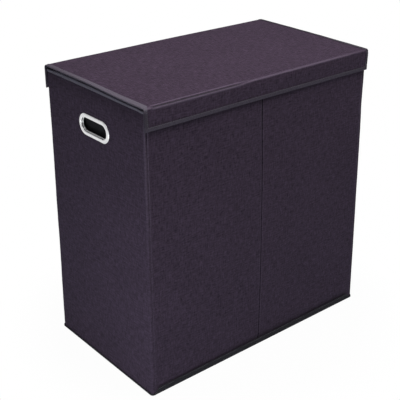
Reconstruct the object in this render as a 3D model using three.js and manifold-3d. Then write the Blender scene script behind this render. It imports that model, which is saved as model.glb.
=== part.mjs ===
// A laundry hamper with two bins: a folding box of cloth-covered boards with a bound rim, a bound
// lid that hinges at the back on a cloth crease and has a front lip on a second crease, a two-piece
// oval grommet round the hand hole in each end wall, and a lift-out liner bag in each bin.
// Lengths are millimetres. +Z is up, the front faces -Y, and the hand holes are at -X and +X.
// The origin is the middle of the base, on the surface that the hamper stands on.
import * as THREE from 'three';
import { mergeVertices } from 'three/addons/utils/BufferGeometryUtils.js';
import Module from 'manifold-3d';

const wasm = await Module();
wasm.setup();

// Body
const bodyWidth = 620;
const bodyDepth = 344;
const wallHeight = 644.5;
const cornerRadius = 4.5;
const clearance = 0.3;
const overrun = 5;

// Cloths and boards
const coverThickness = 0.8;
const boardThickness = 2.5;
const liningThickness = 0.6;
const tapeThickness = 0.6;
const rimTapeWidth = 5.6;
const boardGap = 8;
const foldDepth = 1.8;
const foldHalfWidth = 3.4;

// Base
const baseClothThickness = 1.2;
const floorBoardThickness = 3;
const floorClothThickness = 0.6;
const bandThickness = 1.6;
const bandHeightFront = 15;
const bandHeightSide = 5;
const bandRise = 16;

// Hand holes
const holeLength = 91;
const holeHeight = 30.6;
const holeBelowRim = 83.5;
const ringFlange = 8.3;
const ringCrest = 2.4;
const ringEdge = 0.9;
const collarThickness = 1.2;

// Lid and lips
const lidOverhang = 2.5;
const lidTapeWidth = 10.5;
const lipDrop = 47.4;
const lipBoardThickness = 1.5;
const lipTapeWidth = 9;
const creaseRadius = 5;

// Hook-and-loop strips
const stripThickness = 0.7;
const lidStripHeight = 14;
const lidStripLength = 180;

// Liner bags
const bagThickness = 1.2;
const bagSideRoom = 6;
const bagPartition = 3;
const bagBelowRim = 22.5;
const bagCornerRadius = 16;
const bagFootRadius = 9;
const bagTapeWidth = 12;
const bagStripHeight = 20;
const bagStripLength = 160;
const bagStripBelowRim = 15;
const wallStripMargin = 19.5;
const strapWidth = 26;
const strapThickness = 1.6;
const strapArch = 150;
const strapTab = 28;
const strapStandOff = 17;
const strapBelowRim = 32;

// How finely the round parts are cut
const cornerSteps = 5;
const holeSteps = 12;
const domeSteps = 6;
const foldSteps = 8;
const archSteps = 16;
const creaseSteps = 6;
const bandRiseShares = [0.2, 0.4, 0.6, 0.8, 1];

// Places that follow from the sizes
const halfWidth = bodyWidth / 2;
const halfDepth = bodyDepth / 2;
const boardOuter = coverThickness + clearance;
const boardInner = boardOuter + boardThickness;
const liningOuter = boardInner + clearance;
const wallThickness = liningOuter + liningThickness;
const tapeProud = clearance + tapeThickness;
const panelTop = wallHeight - tapeProud;
const panelBottom = baseClothThickness + clearance;
const boardEnd = Math.max(cornerRadius, boardInner + clearance);
const floorBoardBottom = baseClothThickness + clearance;
const floorClothBottom = floorBoardBottom + floorBoardThickness + clearance;
const floorTop = floorClothBottom + floorClothThickness;
const holeCentre = wallHeight - holeBelowRim;

const lipStack = liningThickness + clearance + lipBoardThickness + clearance + coverThickness;
const frontLipInner = halfDepth + tapeProud + clearance + tapeProud;
const backLipInner = halfDepth + clearance + stripThickness + clearance + stripThickness + clearance;
const frontOuter = frontLipInner + lipStack;
const backOuter = backLipInner + lipStack;
const lidHalfWidth = halfWidth + lidOverhang;
const sheetHalfWidth = lidHalfWidth - tapeProud;
const lidLiningBottom = wallHeight + clearance + tapeProud;
const lidBoardBottom = lidLiningBottom + liningThickness + clearance;
const lidCoverBottom = lidBoardBottom + boardThickness + clearance;
const lidTop = lidCoverBottom + coverThickness;
const lidFrontEnd = -(frontOuter - creaseRadius);
const lidBackEnd = backOuter - creaseRadius;
const lipTop = lidTop - creaseRadius;
const lipBottom = lidTop - lipDrop + tapeProud;

const bagInnerX = bagPartition / 2;
const bagOuterX = halfWidth - wallThickness - bagSideRoom;
const bagHalfX = (bagOuterX - bagInnerX) / 2;
const bagCentreX = (bagOuterX + bagInnerX) / 2;
const stripStack = clearance + stripThickness + clearance + stripThickness + clearance;
const bagHalfY = halfDepth - wallThickness - stripStack;
const bagBottom = floorTop + clearance;
const bagTop = wallHeight - bagBelowRim;
const bagStripTop = bagTop - bagStripBelowRim;
const lidStripInset = (halfWidth - lidStripLength) / 2;
const wallStripHalf = bagCentreX + bagStripLength / 2 + wallStripMargin;

// Finishes
function finish(colour, roughness, metalness) {
  return new THREE.MeshStandardMaterial({ color: colour, roughness: roughness, metalness: metalness });
}

const coverCloth = finish(0x40374a, 0.95, 0);
const tapeCloth = finish(0x57555c, 0.9, 0);
const bandCloth = finish(0x26262a, 0.95, 0);
const liningCloth = finish(0x2b2a2e, 0.95, 0);
const chipboard = finish(0x9a8060, 0.85, 0);
const satinMetal = finish(0xd8d8da, 0.28, 1);
const bagCloth = finish(0x35343a, 0.9, 0);
const webbing = finish(0x45434a, 0.85, 0);
const hookAndLoop = finish(0x1c1c1f, 1, 0);

// A mesh with its name, its shape and its finish.
function piece(name, geometry, material) {
  const mesh = new THREE.Mesh(geometry, material);
  mesh.name = name;
  return mesh;
}

// A group of meshes, moved along X.
function assembly(pieces, x = 0) {
  const group = new THREE.Group();
  group.add(...pieces);
  group.position.x = x;
  return group;
}

// A block between two opposite corners.
function block([x0, y0, z0], [x1, y1, z1]) {
  const geometry = new THREE.BoxGeometry(Math.abs(x1 - x0), Math.abs(y1 - y0), Math.abs(z1 - z0));
  geometry.translate((x0 + x1) / 2, (y0 + y1) / 2, (z0 + z1) / 2);
  return geometry;
}

// The signed volume of a triangle mesh, negative where its faces point inwards.
function signedVolume(points, index) {
  let sum = 0;
  for (let i = 0; i < index.length; i += 3) {
    const [a, b, c] = [points[index[i]], points[index[i + 1]], points[index[i + 2]]];
    sum += a[0] * (b[1] * c[2] - b[2] * c[1]);
    sum += a[1] * (b[2] * c[0] - b[0] * c[2]);
    sum += a[2] * (b[0] * c[1] - b[1] * c[0]);
  }
  return sum;
}

// The triangles that fill a flat outline, wound the way the outline runs.
function fillOutline(outline) {
  const contour = outline.map(([u, v]) => new THREE.Vector2(u, v));
  const faces = THREE.ShapeUtils.triangulateShape(contour, []);
  return THREE.ShapeUtils.isClockWise(contour) ? faces.map(([a, b, c]) => [c, b, a]) : faces;
}

// A closed surface through rings of points that all have the same count. With `caps`, those
// triangles close the first and last ring; without them the last ring joins the first.
function loft(rings, caps = null) {
  const count = rings[0].length;
  const points = rings.flat();
  const spans = caps ? rings.length - 1 : rings.length;
  const index = [];
  for (let i = 0; i < spans; i++) {
    const here = i * count;
    const next = ((i + 1) % rings.length) * count;
    for (let j = 0; j < count; j++) {
      const k = (j + 1) % count;
      index.push(here + j, here + k, next + k, here + j, next + k, next + j);
    }
  }
  const last = (rings.length - 1) * count;
  for (const [a, b, c] of caps ?? []) {
    index.push(c, b, a, last + a, last + b, last + c);
  }
  if (signedVolume(points, index) < 0) {
    index.reverse();
  }
  const geometry = new THREE.BufferGeometry();
  geometry.setAttribute('position', new THREE.Float32BufferAttribute(points.flat(), 3));
  geometry.setIndex(index);
  return geometry;
}

// A plan outline carried straight up from z0 to z1.
function upright(outline, z0, z1) {
  const rings = [z0, z1].map((z) => outline.map(([x, y]) => [x, y, z]));
  return loft(rings, fillOutline(outline));
}

// Points round a rectangle with round corners, anticlockwise from above. `runs` adds points to the
// front and back edges at those distances from the corners.
function roundedOutline(halfX, halfY, radius, runs = []) {
  const quarter = Math.PI / 2;
  const corners = [[1, 1], [-1, 1], [-1, -1], [1, -1]];
  const points = [];
  corners.forEach(([sideX, sideY], corner) => {
    for (let step = 0; step <= cornerSteps; step++) {
      const angle = quarter * (corner + step / cornerSteps);
      points.push([
        sideX * (halfX - radius) + radius * Math.cos(angle),
        sideY * (halfY - radius) + radius * Math.sin(angle),
      ]);
    }
    if (corner % 2 === 0) {
      const along = (run) => sideX * (halfX - radius - run);
      runs.forEach((run) => points.push([along(run), sideY * halfY]));
      [...runs].reverse().forEach((run) => points.push([-along(run), sideY * halfY]));
    }
  });
  return points;
}

// A ring round a rounded rectangle. Each profile point is [how far out, height], and the corner
// radius follows how far out the point is.
function rimRing(halfX, halfY, radius, profile) {
  const leastRadius = clearance;
  return loft(profile.map(([out, z]) => {
    const outline = roundedOutline(halfX + out, halfY + out, Math.max(radius + out, leastRadius));
    return outline.map(([x, y]) => [x, y, z]);
  }));
}

// The section of a tape folded over an edge: legs of the tape's width on both faces of a panel.
// The panel runs from `inner` to `outer` across its thickness, and its edge is at 0 along it.
function tapeSection(inner, outer, width) {
  return [
    [width, outer + clearance],
    [width, outer + tapeProud],
    [-tapeProud, outer + tapeProud],
    [-tapeProud, inner - tapeProud],
    [width, inner - tapeProud],
    [width, inner - clearance],
    [-clearance, inner - clearance],
    [-clearance, outer + clearance],
  ];
}

// A solid as a manifold, its shared corners merged.
function toSolid(geometry) {
  const bare = geometry.clone();
  bare.deleteAttribute('normal');
  bare.deleteAttribute('uv');
  const merged = mergeVertices(bare);
  return new wasm.Manifold(new wasm.Mesh({
    numProp: 3,
    vertProperties: new Float32Array(merged.attributes.position.array),
    triVerts: new Uint32Array(merged.index.array),
  }));
}

// A manifold back as geometry.
function fromSolid(solid) {
  const mesh = solid.getMesh();
  const geometry = new THREE.BufferGeometry();
  geometry.setAttribute('position', new THREE.BufferAttribute(new Float32Array(mesh.vertProperties), 3));
  geometry.setIndex(new THREE.BufferAttribute(new Uint32Array(mesh.triVerts), 1));
  return geometry;
}

function cut(geometry, cutter) {
  return fromSolid(toSolid(geometry).subtract(toSolid(cutter)));
}

// Hand hole: a slot with round ends, its outline moved outwards by `out`, as [across, up] points.
function holeOutline(out) {
  const radius = holeHeight / 2;
  const straight = holeLength / 2 - radius;
  const points = [];
  for (const side of [1, -1]) {
    for (let step = 0; step <= holeSteps; step++) {
      const angle = Math.PI * (step / holeSteps - 1 / 2);
      points.push([
        side * (straight + (radius + out) * Math.cos(angle)),
        side * (radius + out) * Math.sin(angle),
      ]);
    }
  }
  return points;
}

// The tool that cuts an end wall's hand hole, a clearance wider than the grommet's collar.
function holeCutter(side) {
  const outline = holeOutline(collarThickness + clearance);
  const ends = [halfWidth + overrun, halfWidth - wallThickness - overrun];
  const rings = ends.map((x) => outline.map(([y, z]) => [side * x, y, holeCentre + z]));
  return loft(rings, fillOutline(outline));
}

// One half of a grommet: a domed flange on the wall's face and a collar that reaches to the
// middle of the wall, where it meets the other half.
function grommetHalf(side, isOuter) {
  const collarEnd = -(wallThickness - clearance) / 2;
  const profile = [];
  for (let step = 0; step <= domeSteps; step++) {
    const angle = Math.PI * (1 - step / domeSteps);
    profile.push([
      ringFlange / 2 * (1 + Math.cos(angle)),
      ringEdge + (ringCrest - ringEdge) * Math.sin(angle),
    ]);
  }
  profile.push([ringFlange, clearance]);
  profile.push([collarThickness, clearance]);
  profile.push([collarThickness, collarEnd]);
  profile.push([0, collarEnd]);
  return loft(profile.map(([out, rise]) => {
    const x = isOuter ? halfWidth + rise : halfWidth - wallThickness - rise;
    return holeOutline(out).map(([y, z]) => [side * x, y, holeCentre + z]);
  }));
}

// How far the front and back cloth dips between its two boards, at x.
function foldDip(x) {
  const reach = Math.min(Math.abs(x) / foldHalfWidth, 1);
  return foldDepth * (1 + Math.cos(Math.PI * reach)) / 2;
}

// Front or back cover: a flat cloth between the corner seams with a dip at the middle fold.
function foldedCover(face) {
  const end = halfWidth - cornerRadius - clearance / 2;
  const places = [-end];
  for (let step = 0; step <= foldSteps; step++) {
    places.push(foldHalfWidth * (2 * step / foldSteps - 1));
  }
  places.push(end);
  const outer = places.map((x) => [x, face * (halfDepth - foldDip(x))]);
  const inner = places.map((x) => [x, face * (halfDepth - foldDip(x) - coverThickness)]);
  return upright([...outer, ...inner.reverse()], panelBottom, panelTop);
}

// End cover: a cloth that turns round both corners of its end wall, up to the corner seams.
function endCover(side) {
  const centreX = halfWidth - cornerRadius;
  const centreY = halfDepth - cornerRadius;
  const turn = (radius, corner) => {
    const points = [];
    for (let step = 0; step <= cornerSteps; step++) {
      const angle = Math.PI / 2 * (corner < 0 ? step / cornerSteps - 1 : step / cornerSteps);
      points.push([side * (centreX + radius * Math.cos(angle)), corner * centreY + radius * Math.sin(angle)]);
    }
    return points;
  };
  const seam = clearance / 2;
  const outer = [...turn(cornerRadius, -1), ...turn(cornerRadius, 1)];
  const inner = [...turn(cornerRadius - coverThickness, -1), ...turn(cornerRadius - coverThickness, 1)];
  const outline = [...outer, ...inner.reverse()].map(([x, y]) => {
    return Math.abs(x) < centreX + seam ? [side * (centreX + seam), y] : [x, y];
  });
  return cut(upright(outline, panelBottom, panelTop), holeCutter(side));
}

// End board and end lining: flat sheets with the hand hole.
function endSheet(side, outerDepth, innerDepth, halfLength) {
  const near = side * (halfWidth - innerDepth);
  const far = side * (halfWidth - outerDepth);
  const sheet = block([near, -halfLength, panelBottom], [far, halfLength, panelTop]);
  return cut(sheet, holeCutter(side));
}

function endWall(side, name) {
  const liningHalf = halfDepth - liningOuter;
  return [
    piece(`${name}_cover`, endCover(side), coverCloth),
    piece(`${name}_wall_board`, endSheet(side, boardOuter, boardInner, halfDepth - boardEnd), chipboard),
    piece(`${name}_lining`, endSheet(side, liningOuter, wallThickness, liningHalf), liningCloth),
    piece(`${name}_handle_outer_ring`, grommetHalf(side, true), satinMetal),
    piece(`${name}_handle_inner_ring`, grommetHalf(side, false), satinMetal),
  ];
}

// Front or back wall: two boards that fold at the middle, between a cover and a lining.
function foldingWall(face, name) {
  const boardFar = halfWidth - boardEnd;
  const board = (side) => block(
    [side * boardGap / 2, face * (halfDepth - boardInner), panelBottom],
    [side * boardFar, face * (halfDepth - boardOuter), panelTop],
  );
  const liningEnd = halfWidth - wallThickness - clearance;
  const lining = block(
    [-liningEnd, face * (halfDepth - wallThickness), panelBottom],
    [liningEnd, face * (halfDepth - liningOuter), panelTop],
  );
  return [
    piece(`${name}_cover`, foldedCover(face), coverCloth),
    piece(`${name}_left_board`, board(-1), chipboard),
    piece(`${name}_right_board`, board(1), chipboard),
    piece(`${name}_lining`, lining, liningCloth),
  ];
}

// The tape that binds the top edge of all four walls.
function rimTape() {
  const section = tapeSection(-wallThickness, 0, rimTapeWidth - tapeProud);
  const profile = section.map(([down, out]) => [out, panelTop - down]);
  return rimRing(halfWidth, halfDepth, cornerRadius, profile);
}

// The dark band round the foot of the walls. It is tall at the front and back, and falls to a
// narrow edge at the corners and along the end walls.
function baseBand() {
  const runs = bandRiseShares.map((share) => share * bandRise);
  const cornerX = halfWidth - cornerRadius;
  const topAt = (x) => {
    const reach = THREE.MathUtils.smoothstep(cornerX - Math.abs(x), 0, bandRise);
    return bandHeightSide + (bandHeightFront - bandHeightSide) * reach;
  };
  const ring = (out, isTop) => {
    const outline = roundedOutline(halfWidth + out, halfDepth + out, cornerRadius + out, runs);
    return outline.map(([x, y]) => [x, y, isTop ? topAt(x) : 0]);
  };
  const near = clearance;
  const far = clearance + bandThickness;
  return loft([ring(far, false), ring(far, true), ring(near, true), ring(near, false)]);
}

function base() {
  const cloth = roundedOutline(halfWidth, halfDepth, cornerRadius);
  const floorX = halfWidth - wallThickness - clearance;
  const floorY = halfDepth - wallThickness - clearance;
  const floor = (z0, thickness) => block([-floorX, -floorY, z0], [floorX, floorY, z0 + thickness]);
  return [
    piece('base_cloth', upright(cloth, 0, baseClothThickness), bandCloth),
    piece('base_band', baseBand(), bandCloth),
    piece('floor_board', floor(floorBoardBottom, floorBoardThickness), chipboard),
    piece('floor_cloth', floor(floorClothBottom, floorClothThickness), liningCloth),
  ];
}

// Lid: a board between a cover and a lining, its two side edges bound with tape.
function lidSheet(bottom, thickness) {
  return block([-sheetHalfWidth, lidFrontEnd, bottom], [sheetHalfWidth, lidBackEnd, bottom + thickness]);
}

function lidTape(side) {
  const section = tapeSection(lidLiningBottom, lidTop, lidTapeWidth - tapeProud);
  const rings = [lidFrontEnd, lidBackEnd].map((y) => {
    return section.map(([inwards, z]) => [side * (sheetHalfWidth - inwards), y, z]);
  });
  return loft(rings, fillOutline(section));
}

// A cloth crease: a quarter turn of the cover from the lid's top down to a lip's face.
function crease(face, outerFace) {
  const centreY = outerFace - creaseRadius;
  const centreZ = lidTop - creaseRadius;
  const gap = clearance / creaseRadius;
  const arc = (radius) => {
    const points = [];
    for (let step = 0; step <= creaseSteps; step++) {
      const angle = gap + (Math.PI / 2 - 2 * gap) * step / creaseSteps;
      points.push([face * (centreY + radius * Math.cos(angle)), centreZ + radius * Math.sin(angle)]);
    }
    return points;
  };
  const section = [...arc(creaseRadius), ...arc(creaseRadius - coverThickness).reverse()];
  const rings = [-lidHalfWidth, lidHalfWidth].map((x) => section.map(([y, z]) => [x, y, z]));
  return loft(rings, fillOutline(section));
}

function lid() {
  return [
    piece('lid_cover', lidSheet(lidCoverBottom, coverThickness), coverCloth),
    piece('lid_board', lidSheet(lidBoardBottom, boardThickness), chipboard),
    piece('lid_lining', lidSheet(lidLiningBottom, liningThickness), liningCloth),
    piece('lid_left_tape', lidTape(-1), tapeCloth),
    piece('lid_right_tape', lidTape(1), tapeCloth),
    piece('rear_crease_cloth', crease(1, backOuter), coverCloth),
  ];
}

// The tape round a lip's two ends and its lower edge, mitred at the corners.
function lipTape(face, lipInner) {
  const section = tapeSection(lipInner, lipInner + lipStack, lipTapeWidth - tapeProud);
  const stations = [
    { x: -sheetHalfWidth, z: lipTop, inX: 1, inZ: 0 },
    { x: -sheetHalfWidth, z: lipBottom, inX: 1, inZ: 1 },
    { x: sheetHalfWidth, z: lipBottom, inX: -1, inZ: 1 },
    { x: sheetHalfWidth, z: lipTop, inX: -1, inZ: 0 },
  ];
  const rings = stations.map(({ x, z, inX, inZ }) => {
    return section.map(([inwards, y]) => [x + inX * inwards, face * y, z + inZ * inwards]);
  });
  return loft(rings, fillOutline(section));
}

// A lip: lining, board and cover from the wall outwards, bound with tape.
function lip(face, name, lipInner) {
  const lipBoard = lipInner + liningThickness + clearance;
  const lipCover = lipBoard + lipBoardThickness + clearance;
  const sheet = (depth, thickness) => block(
    [-sheetHalfWidth, face * depth, lipBottom],
    [sheetHalfWidth, face * (depth + thickness), lipTop],
  );
  return [
    piece(`${name}_cover`, sheet(lipCover, coverThickness), coverCloth),
    piece(`${name}_board`, sheet(lipBoard, lipBoardThickness), chipboard),
    piece(`${name}_lining`, sheet(lipInner, liningThickness), liningCloth),
    piece(`${name}_tape`, lipTape(face, lipInner), tapeCloth),
  ];
}

// The hook-and-loop strips that hold the back lip to the back wall.
function lidStrips(side, name) {
  const bottom = lipBottom + lipTapeWidth - tapeProud + clearance;
  const strip = (depth) => block(
    [side * lidStripInset, depth, bottom],
    [side * (lidStripInset + lidStripLength), depth + stripThickness, bottom + lidStripHeight],
  );
  const loop = halfDepth + clearance;
  return [
    piece(`back_${name}_loop_strip`, strip(loop), hookAndLoop),
    piece(`back_${name}_hook_strip`, strip(loop + stripThickness + clearance), hookAndLoop),
  ];
}

// The loop strip on the lining that the bags' hook patches press on to.
function wallStrip(face, name) {
  const depth = halfDepth - wallThickness - clearance;
  const low = [-wallStripHalf, face * (depth - stripThickness), bagStripTop - bagStripHeight];
  const high = [wallStripHalf, face * depth, bagStripTop];
  return piece(`${name}_lining_loop_strip`, block(low, high), hookAndLoop);
}

// Liner bag: an open-topped shell with round corners and a round foot.
function bagShell() {
  const quarter = Math.PI / 2;
  const ring = (inset, z) => {
    const radius = Math.max(bagCornerRadius - inset, clearance);
    const outline = roundedOutline(bagHalfX - inset, bagHalfY - inset, radius);
    return outline.map(([x, y]) => [x, y, z]);
  };
  const foot = (radius, inset, bottom) => {
    const rings = [];
    for (let step = 0; step <= cornerSteps; step++) {
      const angle = quarter * step / cornerSteps;
      rings.push(ring(inset + radius * (1 - Math.sin(angle)), bottom + radius * (1 - Math.cos(angle))));
    }
    return rings;
  };
  const outer = foot(bagFootRadius, 0, bagBottom);
  const inner = foot(bagFootRadius - bagThickness, bagThickness, bagBottom + bagThickness);
  const rings = [...outer, ring(0, bagTop), ring(bagThickness, bagTop), ...inner.reverse()];
  return loft(rings, fillOutline(rings[0]));
}

function bagTape() {
  const section = tapeSection(-bagThickness, 0, bagTapeWidth - tapeProud);
  const profile = section.map(([down, out]) => [out, bagTop - down]);
  return rimRing(bagHalfX, bagHalfY, bagCornerRadius, profile);
}

// Grab strap on a bag's inner face: flat tabs at both ends and an arch that stands off the cloth.
function strap(face) {
  const half = strapArch / 2;
  const standOff = (x) => strapStandOff * (1 + Math.cos(Math.PI * Math.min(Math.abs(x) / half, 1))) / 2;
  const places = [-half - strapTab];
  for (let step = 0; step <= archSteps; step++) {
    places.push(half * (2 * step / archSteps - 1));
  }
  places.push(half + strapTab);
  const wall = bagHalfY - bagThickness - clearance;
  const near = places.map((x) => [x, face * (wall - standOff(x))]);
  const far = places.map((x) => [x, face * (wall - standOff(x) - strapThickness)]);
  const top = bagTop - strapBelowRim;
  return upright([...near, ...far.reverse()], top - strapWidth, top);
}

function hookPatch(face) {
  const depth = bagHalfY + clearance;
  const low = [-bagStripLength / 2, face * depth, bagStripTop - bagStripHeight];
  const high = [bagStripLength / 2, face * (depth + stripThickness), bagStripTop];
  return block(low, high);
}

function linerBag(name) {
  return [
    piece(`${name}_bag`, bagShell(), bagCloth),
    piece(`${name}_bag_tape`, bagTape(), webbing),
    piece(`${name}_bag_front_strap`, strap(-1), webbing),
    piece(`${name}_bag_back_strap`, strap(1), webbing),
    piece(`${name}_bag_front_hook_patch`, hookPatch(-1), hookAndLoop),
    piece(`${name}_bag_back_hook_patch`, hookPatch(1), hookAndLoop),
  ];
}

const walls = assembly([
  ...endWall(-1, 'left'),
  ...endWall(1, 'right'),
  ...foldingWall(-1, 'front'),
  ...foldingWall(1, 'back'),
  piece('rim_tape', rimTape(), tapeCloth),
  wallStrip(-1, 'front'),
  wallStrip(1, 'back'),
]);

const backLip = assembly([
  ...lip(1, 'back_lip', backLipInner),
  ...lidStrips(-1, 'left'),
  ...lidStrips(1, 'right'),
]);

const frontLip = assembly([
  ...lip(-1, 'front_lip', frontLipInner),
  piece('front_crease_cloth', crease(-1, frontOuter), coverCloth),
]);

const hamper = new THREE.Group();
hamper.add(
  assembly(base()),
  walls,
  backLip,
  assembly(linerBag('left'), -bagCentreX),
  assembly(linerBag('right'), bagCentreX),
  assembly(lid()),
  frontLip,
);

export default hamper;
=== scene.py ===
# %% [markdown]
# # A folding laundry hamper with two liner bags
# The hamper is a cloth-covered box of thin boards. The frame below holds its boards, its joints and
# a plain sheet for every cloth. This lesson dresses the frame: every cloth, tape, bag, strap and
# metal ring is worked out with numpy as a surface at its real size, in metres, and gets a finish
# made of shader nodes. Loading the frame comes first, because every piece takes its place from it.

# %% Load the frame
import math

import bpy
import numpy as np
from mathutils import Matrix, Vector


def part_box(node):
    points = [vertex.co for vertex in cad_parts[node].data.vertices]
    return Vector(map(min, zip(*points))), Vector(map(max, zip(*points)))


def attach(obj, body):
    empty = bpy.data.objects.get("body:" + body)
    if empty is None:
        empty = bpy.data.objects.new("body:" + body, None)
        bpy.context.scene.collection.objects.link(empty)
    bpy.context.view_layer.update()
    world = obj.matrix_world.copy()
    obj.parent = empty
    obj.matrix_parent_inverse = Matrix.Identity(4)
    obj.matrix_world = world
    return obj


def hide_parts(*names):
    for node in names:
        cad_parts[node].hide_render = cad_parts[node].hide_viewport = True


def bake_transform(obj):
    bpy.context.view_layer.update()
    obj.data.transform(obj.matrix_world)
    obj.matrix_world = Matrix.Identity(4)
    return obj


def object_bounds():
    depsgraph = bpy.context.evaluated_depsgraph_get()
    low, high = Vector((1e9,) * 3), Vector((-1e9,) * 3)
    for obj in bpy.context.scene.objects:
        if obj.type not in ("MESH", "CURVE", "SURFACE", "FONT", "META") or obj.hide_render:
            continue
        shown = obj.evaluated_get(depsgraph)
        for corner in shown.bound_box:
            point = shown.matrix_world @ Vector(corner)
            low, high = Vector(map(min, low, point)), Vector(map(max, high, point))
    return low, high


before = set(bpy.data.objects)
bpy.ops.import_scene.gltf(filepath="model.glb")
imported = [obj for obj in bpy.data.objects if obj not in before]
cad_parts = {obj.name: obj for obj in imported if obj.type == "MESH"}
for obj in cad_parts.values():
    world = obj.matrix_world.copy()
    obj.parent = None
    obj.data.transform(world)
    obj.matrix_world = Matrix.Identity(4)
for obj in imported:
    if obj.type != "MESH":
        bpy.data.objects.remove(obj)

MM = 0.001
cad_low, cad_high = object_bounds()
print("model box in mm:", [round(v / MM, 1) for v in (*cad_low, *cad_high)])

# %% [markdown]
# ## The camera
# The photograph was taken from the front left, a little above the lid. The place, the two angles
# and the lens below come from the vanishing lines of the box, so a point of the model lands on the
# pixel where the photograph shows it. The camera's own axes are worked out from the angles instead
# of using a Track To constraint, because the small roll is then exact.

# %% Camera
CAMERA_PLACE = np.array([-1235.54, -1454.73, 1214.96]) * MM
CAMERA_AZIMUTH, CAMERA_ELEVATION, CAMERA_ROLL = -0.69106, 0.44476, -0.00247
LENS_MM, SENSOR_MM = 81.19, 36.0


def camera_axes(azimuth, elevation, roll):
    """The camera's right, up and back directions. Back is the unit vector at the azimuth and
    elevation, right is level and square to it, up is square to both, and the roll turns right and
    up about back."""
    back = np.array([
        math.sin(azimuth) * math.cos(elevation),
        -math.cos(azimuth) * math.cos(elevation),
        math.sin(elevation),
    ])
    right = np.cross(-back, [0.0, 0.0, 1.0])
    right /= np.linalg.norm(right)
    up = np.cross(right, -back)
    cosine, sine = math.cos(roll), math.sin(roll)
    return cosine * right + sine * up, -sine * right + cosine * up, back


def placed(axes, place):
    """The matrix of a thing at a place, with the given right, up and back directions."""
    matrix = np.eye(4)
    matrix[:3, :3], matrix[:3, 3] = np.stack(axes, 1), place
    return Matrix(matrix.tolist())


def new_object(name, data):
    """A new object in the scene."""
    thing = bpy.data.objects.new(name, data)
    bpy.context.scene.collection.objects.link(thing)
    return thing


camera = new_object("camera", bpy.data.cameras.new("camera"))
camera.matrix_world = placed(camera_axes(CAMERA_AZIMUTH, CAMERA_ELEVATION, CAMERA_ROLL), CAMERA_PLACE)
camera.data.lens, camera.data.sensor_width = LENS_MM, SENSOR_MM
camera.data.clip_start, camera.data.clip_end = 0.05, 50
bpy.context.scene.camera = camera
print("camera is", round(float(np.linalg.norm(CAMERA_PLACE)), 3), "m from the middle of the base")

# %% [markdown]
# ## Light and background
# A product photograph like this one is lit by a large soft box overhead, and its white table throws
# a cool light back up. The lid faces the soft box, so it is the lightest side. Two small low lamps
# stand for the table's brightest places: one in front, and one at the left, which lifts the foot of
# the left end and its front corner. Both are faintly tinted, as light off a table is. The
# background is white only for rays that come straight from the camera or off shiny metal, and the
# cloth itself is lit by a dimmer world, so the white never floods it. A reflection also sees the
# studio's ceiling, which is greyer than its walls, and that is what gives the metal ring its darker
# upper side.

# %% Shader graphs
class Graph:
    """A shader graph being made."""

    def __init__(self, owner):
        owner.use_nodes = True
        self.nodes, self.links = owner.node_tree.nodes, owner.node_tree.links
        self.nodes.clear()

    def node(self, kind, inputs, out=0, **settings):
        """Adds a node and gives one of its outputs. Each input, named or numbered, is linked to
        another node's output or set to a plain number or colour."""
        node = self.nodes.new("ShaderNode" + kind)
        for name, value in settings.items():
            setattr(node, name, value)
        for key, value in inputs.items():
            if isinstance(value, bpy.types.NodeSocket):
                self.links.new(value, node.inputs[key])
            else:
                node.inputs[key].default_value = value
        return node.outputs[out] if node.outputs else None

    def maths(self, operation, first, second=0.0):
        """One operation on one or two numbers, such as their sum."""
        return self.node("Math", {0: first, 1: second}, operation=operation)

    def parts(self, vector):
        """A vector's three numbers."""
        return self.node("SeparateXYZ", {0: vector}).node.outputs

    def stretch(self, value, low, high, new_low=0.0, new_high=1.0, **settings):
        """The value's range from low to high, clamped and carried to the new range."""
        return self.node("MapRange", {0: value, 1: low, 2: high, 3: new_low, 4: new_high}, **settings)

    def seen_directly(self):
        """1 for a ray from the camera, a reflection or a refraction, and 0 for light on a surface."""
        camera_ray, glossy, through = (self.node("LightPath", {}, f"Is {ray} Ray")
                                       for ray in ("Camera", "Glossy", "Transmission"))
        return self.maths("MAXIMUM", self.maths("MAXIMUM", camera_ray, glossy), through)


# %% World
WORLD_LIGHT = 0.10
CEILING_SHADE, CEILING_FROM, CEILING_TO = 0.5, -0.1, 0.4


def make_world():
    """White to the camera, white with a greyer ceiling to reflections, and a dim even grey to every
    other ray. The ceiling's share grows with the height of the ray's direction."""
    world = bpy.data.worlds.new("studio")
    graph = Graph(world)
    height = graph.parts(graph.node("TexCoord", {}, "Generated"))[2]
    shade = graph.stretch(height, CEILING_FROM, CEILING_TO, 0.0, CEILING_SHADE)
    shade = graph.maths("MULTIPLY", shade, graph.node("LightPath", {}, "Is Glossy Ray"))
    dim, white = (graph.node("Background", {"Color": (1, 1, 1, 1), "Strength": strength})
                  for strength in (WORLD_LIGHT, graph.maths("SUBTRACT", 1.0, shade)))
    mixed = graph.node("MixShader", {0: graph.seen_directly(), 1: dim, 2: white})
    graph.node("OutputWorld", {0: mixed})
    return world


bpy.context.scene.world = make_world()
bpy.context.scene.view_settings.view_transform = "Standard"
print("world light:", WORLD_LIGHT)

# %% Soft boxes
SOFT_BOXES = {
    "overhead_box": {"place": (-0.02, -0.35, 2.3), "size": 1.7, "watts": 39.6, "colour": (1, 1, 1)},
    "front_lamp": {"place": (0.0, -1.7, 0.3), "size": 0.8, "watts": 3.5, "colour": (0.95, 1, 0.75)},
    "left_lamp": {"place": (-0.9, -0.4, 0.16), "size": 0.3, "watts": 2.1, "colour": (0.93, 1, 0.98)},
}


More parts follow.
